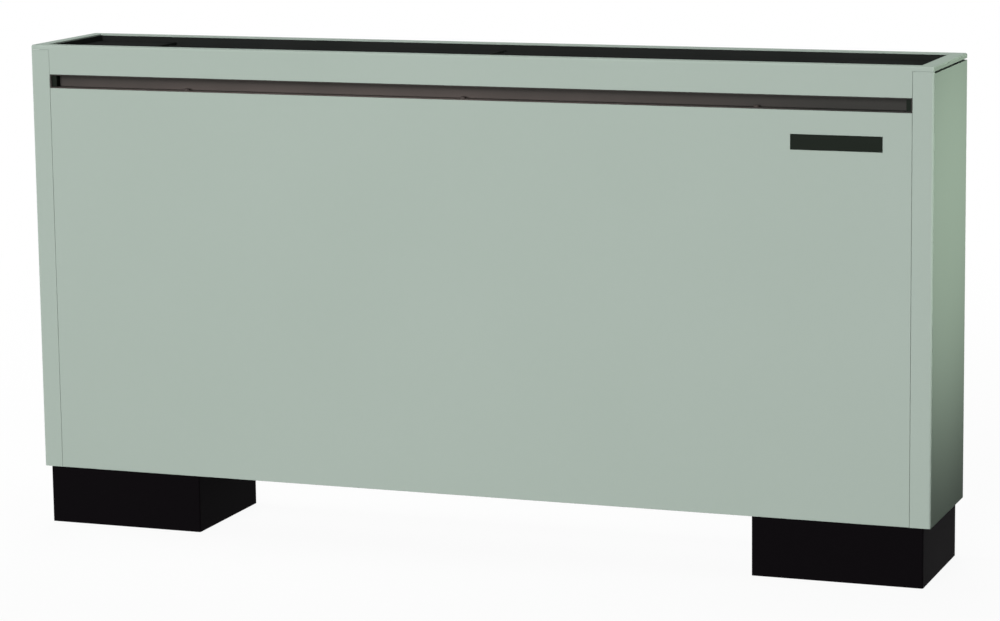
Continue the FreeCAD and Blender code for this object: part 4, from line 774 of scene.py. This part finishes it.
# %% [markdown]
# ## Key of the air vent
# The bleed screw on the coil is turned with a small hollow key, so its head ends in a square stub. The stub
# shows that the screw turns, so it has to ride on the screw and not on the cabinet. It is one bevelled block,
# stood on the leaning axis that the joint gives.

# %% Square stub on the bleed screw
KEY_HALF_WIDTH = 2.5 * MM
KEY_HEIGHT = 5 * MM
KEY_SINK = 0.5 * MM
KEY_EDGE = 0.4 * MM
KEY_EDGE_STEPS = 2


def vent_key():
    foot = Vector(vent_joint["pos_m"])
    top = max((vertex.co - foot).dot(vent_axis) for vertex in nodes["air_vent_screw"].data.vertices)
    shape = bmesh.new()
    low_corner = (-KEY_HALF_WIDTH, -KEY_HALF_WIDTH, -KEY_SINK)
    high_corner = (KEY_HALF_WIDTH, KEY_HALF_WIDTH, KEY_HEIGHT)
    box_in(shape, low_corner, high_corner)
    bevelled(shape, list(shape.edges), KEY_EDGE, KEY_EDGE_STEPS)
    stand = Matrix.Translation(foot + vent_axis * top) @ Matrix.Rotation(COIL_LEAN, 4, "X")
    bmesh.ops.transform(shape, matrix=stand, verts=shape.verts)
    new_piece("vent_key", shape, "vent_brass", "air_vent")


vent_key()
print("key stands", KEY_HEIGHT, "high")

# %% [markdown]
# ## Scales round the knobs
# A screen printer puts the scale on the control plate as a film of ink. A drawn picture would need an image,
# so the ink is thin geometry: short bars for the marks, and numbers from Blender's own font, made a mesh
# before they are put in their place. The thermostat reads one to seven and the fan reads nought to three.

# %% Printed marks and numbers
INK = 0.12 * MM
MARK_REACH = (19.5 * MM, 22.5 * MM)
MARK_HALF_WIDTH = 0.5 * MM
NUMBER_REACH = 25.6 * MM
NUMBER_SIZE = 7.2 * MM
NUMBER_CURVE_STEPS = 4
WELD = 0.001 * MM
THERMOSTAT_MARKS = range(-135, 136, 15)
THERMOSTAT_NUMBERS = [(45 * step - 135, step + 1) for step in range(7)]
SPEED_MARKS = range(0, 91, 30)
SPEED_NUMBERS = [(30 * step, step) for step in range(4)]
plate_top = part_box("control_plate")[1].z


def dial_way(degrees):
    """The way a knob points when it is turned clockwise from the front."""
    turn = math.radians(degrees)
    return Vector((-math.sin(turn), -math.cos(turn), 0))


def number_in(shape, digit, place):
    lettering = bpy.data.curves.new("dial_number", "FONT")
    lettering.body = str(digit)
    lettering.size = NUMBER_SIZE
    lettering.resolution_u = NUMBER_CURVE_STEPS
    lettering.extrude = INK / 2
    lettering.align_x = "CENTER"
    lettering.align_y = "CENTER"
    holder = bpy.data.objects.new("dial_number", lettering)
    outline = bpy.data.meshes.new_from_object(holder)
    outline.transform(Matrix.Translation(place))
    shape.from_mesh(outline)
    bpy.data.objects.remove(holder)
    bpy.data.curves.remove(lettering)
    bpy.data.meshes.remove(outline)


def dial_scale(name, knob, marks, numbers):
    low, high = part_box(knob)
    middle = Vector(((low.x + high.x) / 2, (low.y + high.y) / 2, plate_top + INK / 2))
    shape = bmesh.new()
    low_corner = (-MARK_HALF_WIDTH, -MARK_REACH[1], -INK / 2)
    high_corner = (MARK_HALF_WIDTH, -MARK_REACH[0], INK / 2)
    for degrees in marks:
        mark = box_in(shape, low_corner, high_corner)
        turn = Matrix.Rotation(math.radians(-degrees), 4, "Z")
        bmesh.ops.transform(shape, matrix=Matrix.Translation(middle) @ turn, verts=mark)
    for degrees, digit in numbers:
        number_in(shape, digit, middle + dial_way(degrees) * NUMBER_REACH)
    bmesh.ops.remove_doubles(shape, verts=shape.verts, dist=WELD)
    bmesh.ops.dissolve_degenerate(shape, edges=shape.edges, dist=WELD)
    new_piece(name, shape, "plate_black")


dial_scale("thermostat_scale", "thermostat_knob", THERMOSTAT_MARKS, THERMOSTAT_NUMBERS)
dial_scale("speed_scale", "speed_knob", SPEED_MARKS, SPEED_NUMBERS)
print("scales at", round(plate_top, 4))

# %% [markdown]
# ## Screws of the back
# The galvanised back is held by low wafer-head screws, the kind that lies flat enough to let a cabinet stand
# against a wall. A cross cut out with a Boolean would leave a ragged mesh. Here the boss is cut with two
# planes to one quarter, the quarter is copied round, and the gaps between the quarters are the cross.

# %% Wafer-head screws
back_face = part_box("rear_panel")[1].y
HEAD_RIM = (4.6 * MM, 3.9 * MM, 0.55 * MM)  # wide radius, narrow radius, height
HEAD_BOSS = (3.0 * MM, 2.5 * MM, 0.5 * MM)
HEAD_SIDES = 20
CROSS_HALF_GAP = 0.35 * MM
ROW_SHARES = (-0.9, -0.3, 0.3, 0.9)
FRAME_SCREWS = ((-1, 0.18), (-1, 0.585), (1, 0.18), (1, 0.40), (1, 0.585))  # side, level


def disc_in(shape, radii_and_height, foot):
    wide, narrow, height = radii_and_height
    made = bmesh.ops.create_cone(
        shape, cap_ends=True, segments=HEAD_SIDES, radius1=wide, radius2=narrow, depth=height
    )["verts"]
    bmesh.ops.translate(shape, vec=(0, 0, foot + height / 2), verts=made)


def wafer_head():
    """One screw head as a mesh, standing on the origin and facing the back."""
    head = bmesh.new()
    disc_in(head, HEAD_BOSS, HEAD_RIM[2])
    for way in ((1, 0, 0), (0, 1, 0)):
        cut = Vector(way) * CROSS_HALF_GAP
        bmesh.ops.bisect_plane(head, geom=all_of(head), plane_co=cut, plane_no=way, clear_inner=True)
        bmesh.ops.holes_fill(head, edges=head.edges, sides=0)
    bmesh.ops.spin(
        head,
        geom=all_of(head),
        cent=(0, 0, 0),
        axis=(0, 0, 1),
        angle=1.5 * math.pi,
        steps=3,
        use_duplicate=True,
    )
    disc_in(head, HEAD_RIM, 0)
    bmesh.ops.rotate(head, cent=(0, 0, 0), matrix=Matrix.Rotation(-math.pi / 2, 3, "X"), verts=head.verts)
    mesh = bpy.data.meshes.new("wafer_head")
    head.to_mesh(mesh)
    head.free()
    return mesh


def back_screws():
    """Screws into the base, the fan deck and the end frames behind the back."""
    base_level = (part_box("base_plate")[0].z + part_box("base_plate")[1].z) / 2
    deck_level = (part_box("fan_deck")[0].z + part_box("fan_deck")[1].z) / 2
    frame_line = (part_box("right_end_frame")[0].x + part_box("right_end_frame")[1].x) / 2
    rows = (base_level, deck_level)
    places = [(share * frame_line, level) for level in rows for share in ROW_SHARES]
    places += [(side * frame_line, level) for side, level in FRAME_SCREWS]
    shape = bmesh.new()
    pattern = wafer_head()
    for across, up in places:
        before = len(shape.verts)
        shape.from_mesh(pattern)
        shape.verts.ensure_lookup_table()
        bmesh.ops.translate(shape, vec=(across, back_face, up), verts=shape.verts[before:])
    bpy.data.meshes.remove(pattern)
    print("screws", len(places), "vertices", len(shape.verts))
    new_piece("back_screws", shape, "zinc_steel")


back_screws()

# %% [markdown]
# ## Pressed beads of the back
# A flat sheet over a metre long drums when the fans run, so a press puts long shallow beads in it. Each bead
# starts as a disc whose two halves are drawn apart, which gives it round ends. The disc is extruded through
# the sheet, and insets that rise a little each time give it the low crown of a pressed bead. A bevelled bar
# would be flat, with a thin bright edge.

# %% Two beads
BEAD_HALF_LENGTH = 430 * MM
BEAD_HALF_WIDTH = 10 * MM
BEAD_SIDES = 26
BEAD_LIP = 0.05 * MM
BEAD_SINK = 0.6 * MM
BEAD_CROWN = ((2.4 * MM, 0.5 * MM), (2.4 * MM, 0.3 * MM), (2.4 * MM, 0.15 * MM))  # width, rise
BEAD_LEVELS = (0.18, 0.43)


def back_bead(number, level):
    shape = bmesh.new()
    bmesh.ops.create_circle(shape, cap_ends=True, segments=BEAD_SIDES, radius=BEAD_HALF_WIDTH)
    for side in (-1, 1):
        half = [vertex for vertex in shape.verts if side * vertex.co.x > 0]
        bmesh.ops.translate(shape, vec=(side * (BEAD_HALF_LENGTH - BEAD_HALF_WIDTH), 0, 0), verts=half)
    stand = Matrix.Translation((0, back_face - BEAD_SINK, level)) @ Matrix.Rotation(-math.pi / 2, 4, "X")
    bmesh.ops.transform(shape, matrix=stand, verts=shape.verts)
    raised = bmesh.ops.extrude_face_region(shape, geom=list(shape.faces), use_keep_orig=True)["geom"]
    outer = [part for part in raised if isinstance(part, bmesh.types.BMVert)]
    bmesh.ops.translate(shape, vec=(0, BEAD_SINK + BEAD_LIP, 0), verts=outer)
    shape.normal_update()
    crown = [part for part in raised if isinstance(part, bmesh.types.BMFace)]
    for width, rise in BEAD_CROWN:
        bmesh.ops.inset_individual(shape, faces=crown, thickness=width, depth=rise)
    new_piece(f"back_bead_{number}", shape, "galvanised")


for number, level in enumerate(BEAD_LEVELS, 1):
    back_bead(number, level)
print("beads at", BEAD_LEVELS)

# %% [markdown]
# ## Edge strip of the pipe passage
# The pipes pass a sheared sheet edge, so a fitter pushes a rubber strip over it. The strip is a frame: a
# block whose front and back are inset, with the two inner faces taken out and their loops bridged.

# %% Rubber edge strip
PASSAGE_LOW = (-563.2 * MM, 275 * MM)
PASSAGE_HIGH = (-479.2 * MM, 559 * MM)
STRIP_OVER = 4 * MM
STRIP_IN = 1.5 * MM
STRIP_PROUD = 1.0 * MM
STRIP_CORNER_STEPS = 5
SHEET = 1.2 * MM
MOSTLY = 0.9  # least share of a direction that counts as along it


def passage_strip():
    shape = bmesh.new()
    low = (PASSAGE_LOW[0] - STRIP_OVER, back_face - SHEET - STRIP_PROUD, PASSAGE_LOW[1] - STRIP_OVER)
    high = (PASSAGE_HIGH[0] + STRIP_OVER, back_face + STRIP_PROUD, PASSAGE_HIGH[1] + STRIP_OVER)
    box_in(shape, low, high)
    through = [e for e in shape.edges if abs((e.verts[0].co - e.verts[1].co).normalized().y) > MOSTLY]
    bevelled(shape, through, STRIP_OVER, STRIP_CORNER_STEPS)
    shape.normal_update()
    sides = [face for face in shape.faces if abs(face.normal.y) > MOSTLY]
    bmesh.ops.inset_individual(shape, faces=sides, thickness=STRIP_OVER + STRIP_IN, depth=0)
    loops = [edge for face in sides for edge in face.edges]
    bmesh.ops.delete(shape, geom=sides, context="FACES_ONLY")
    bmesh.ops.bridge_loops(shape, edges=loops)
    return new_piece("passage_strip", shape, "rubber")


strip = passage_strip()
print("strip faces", len(strip.data.polygons))
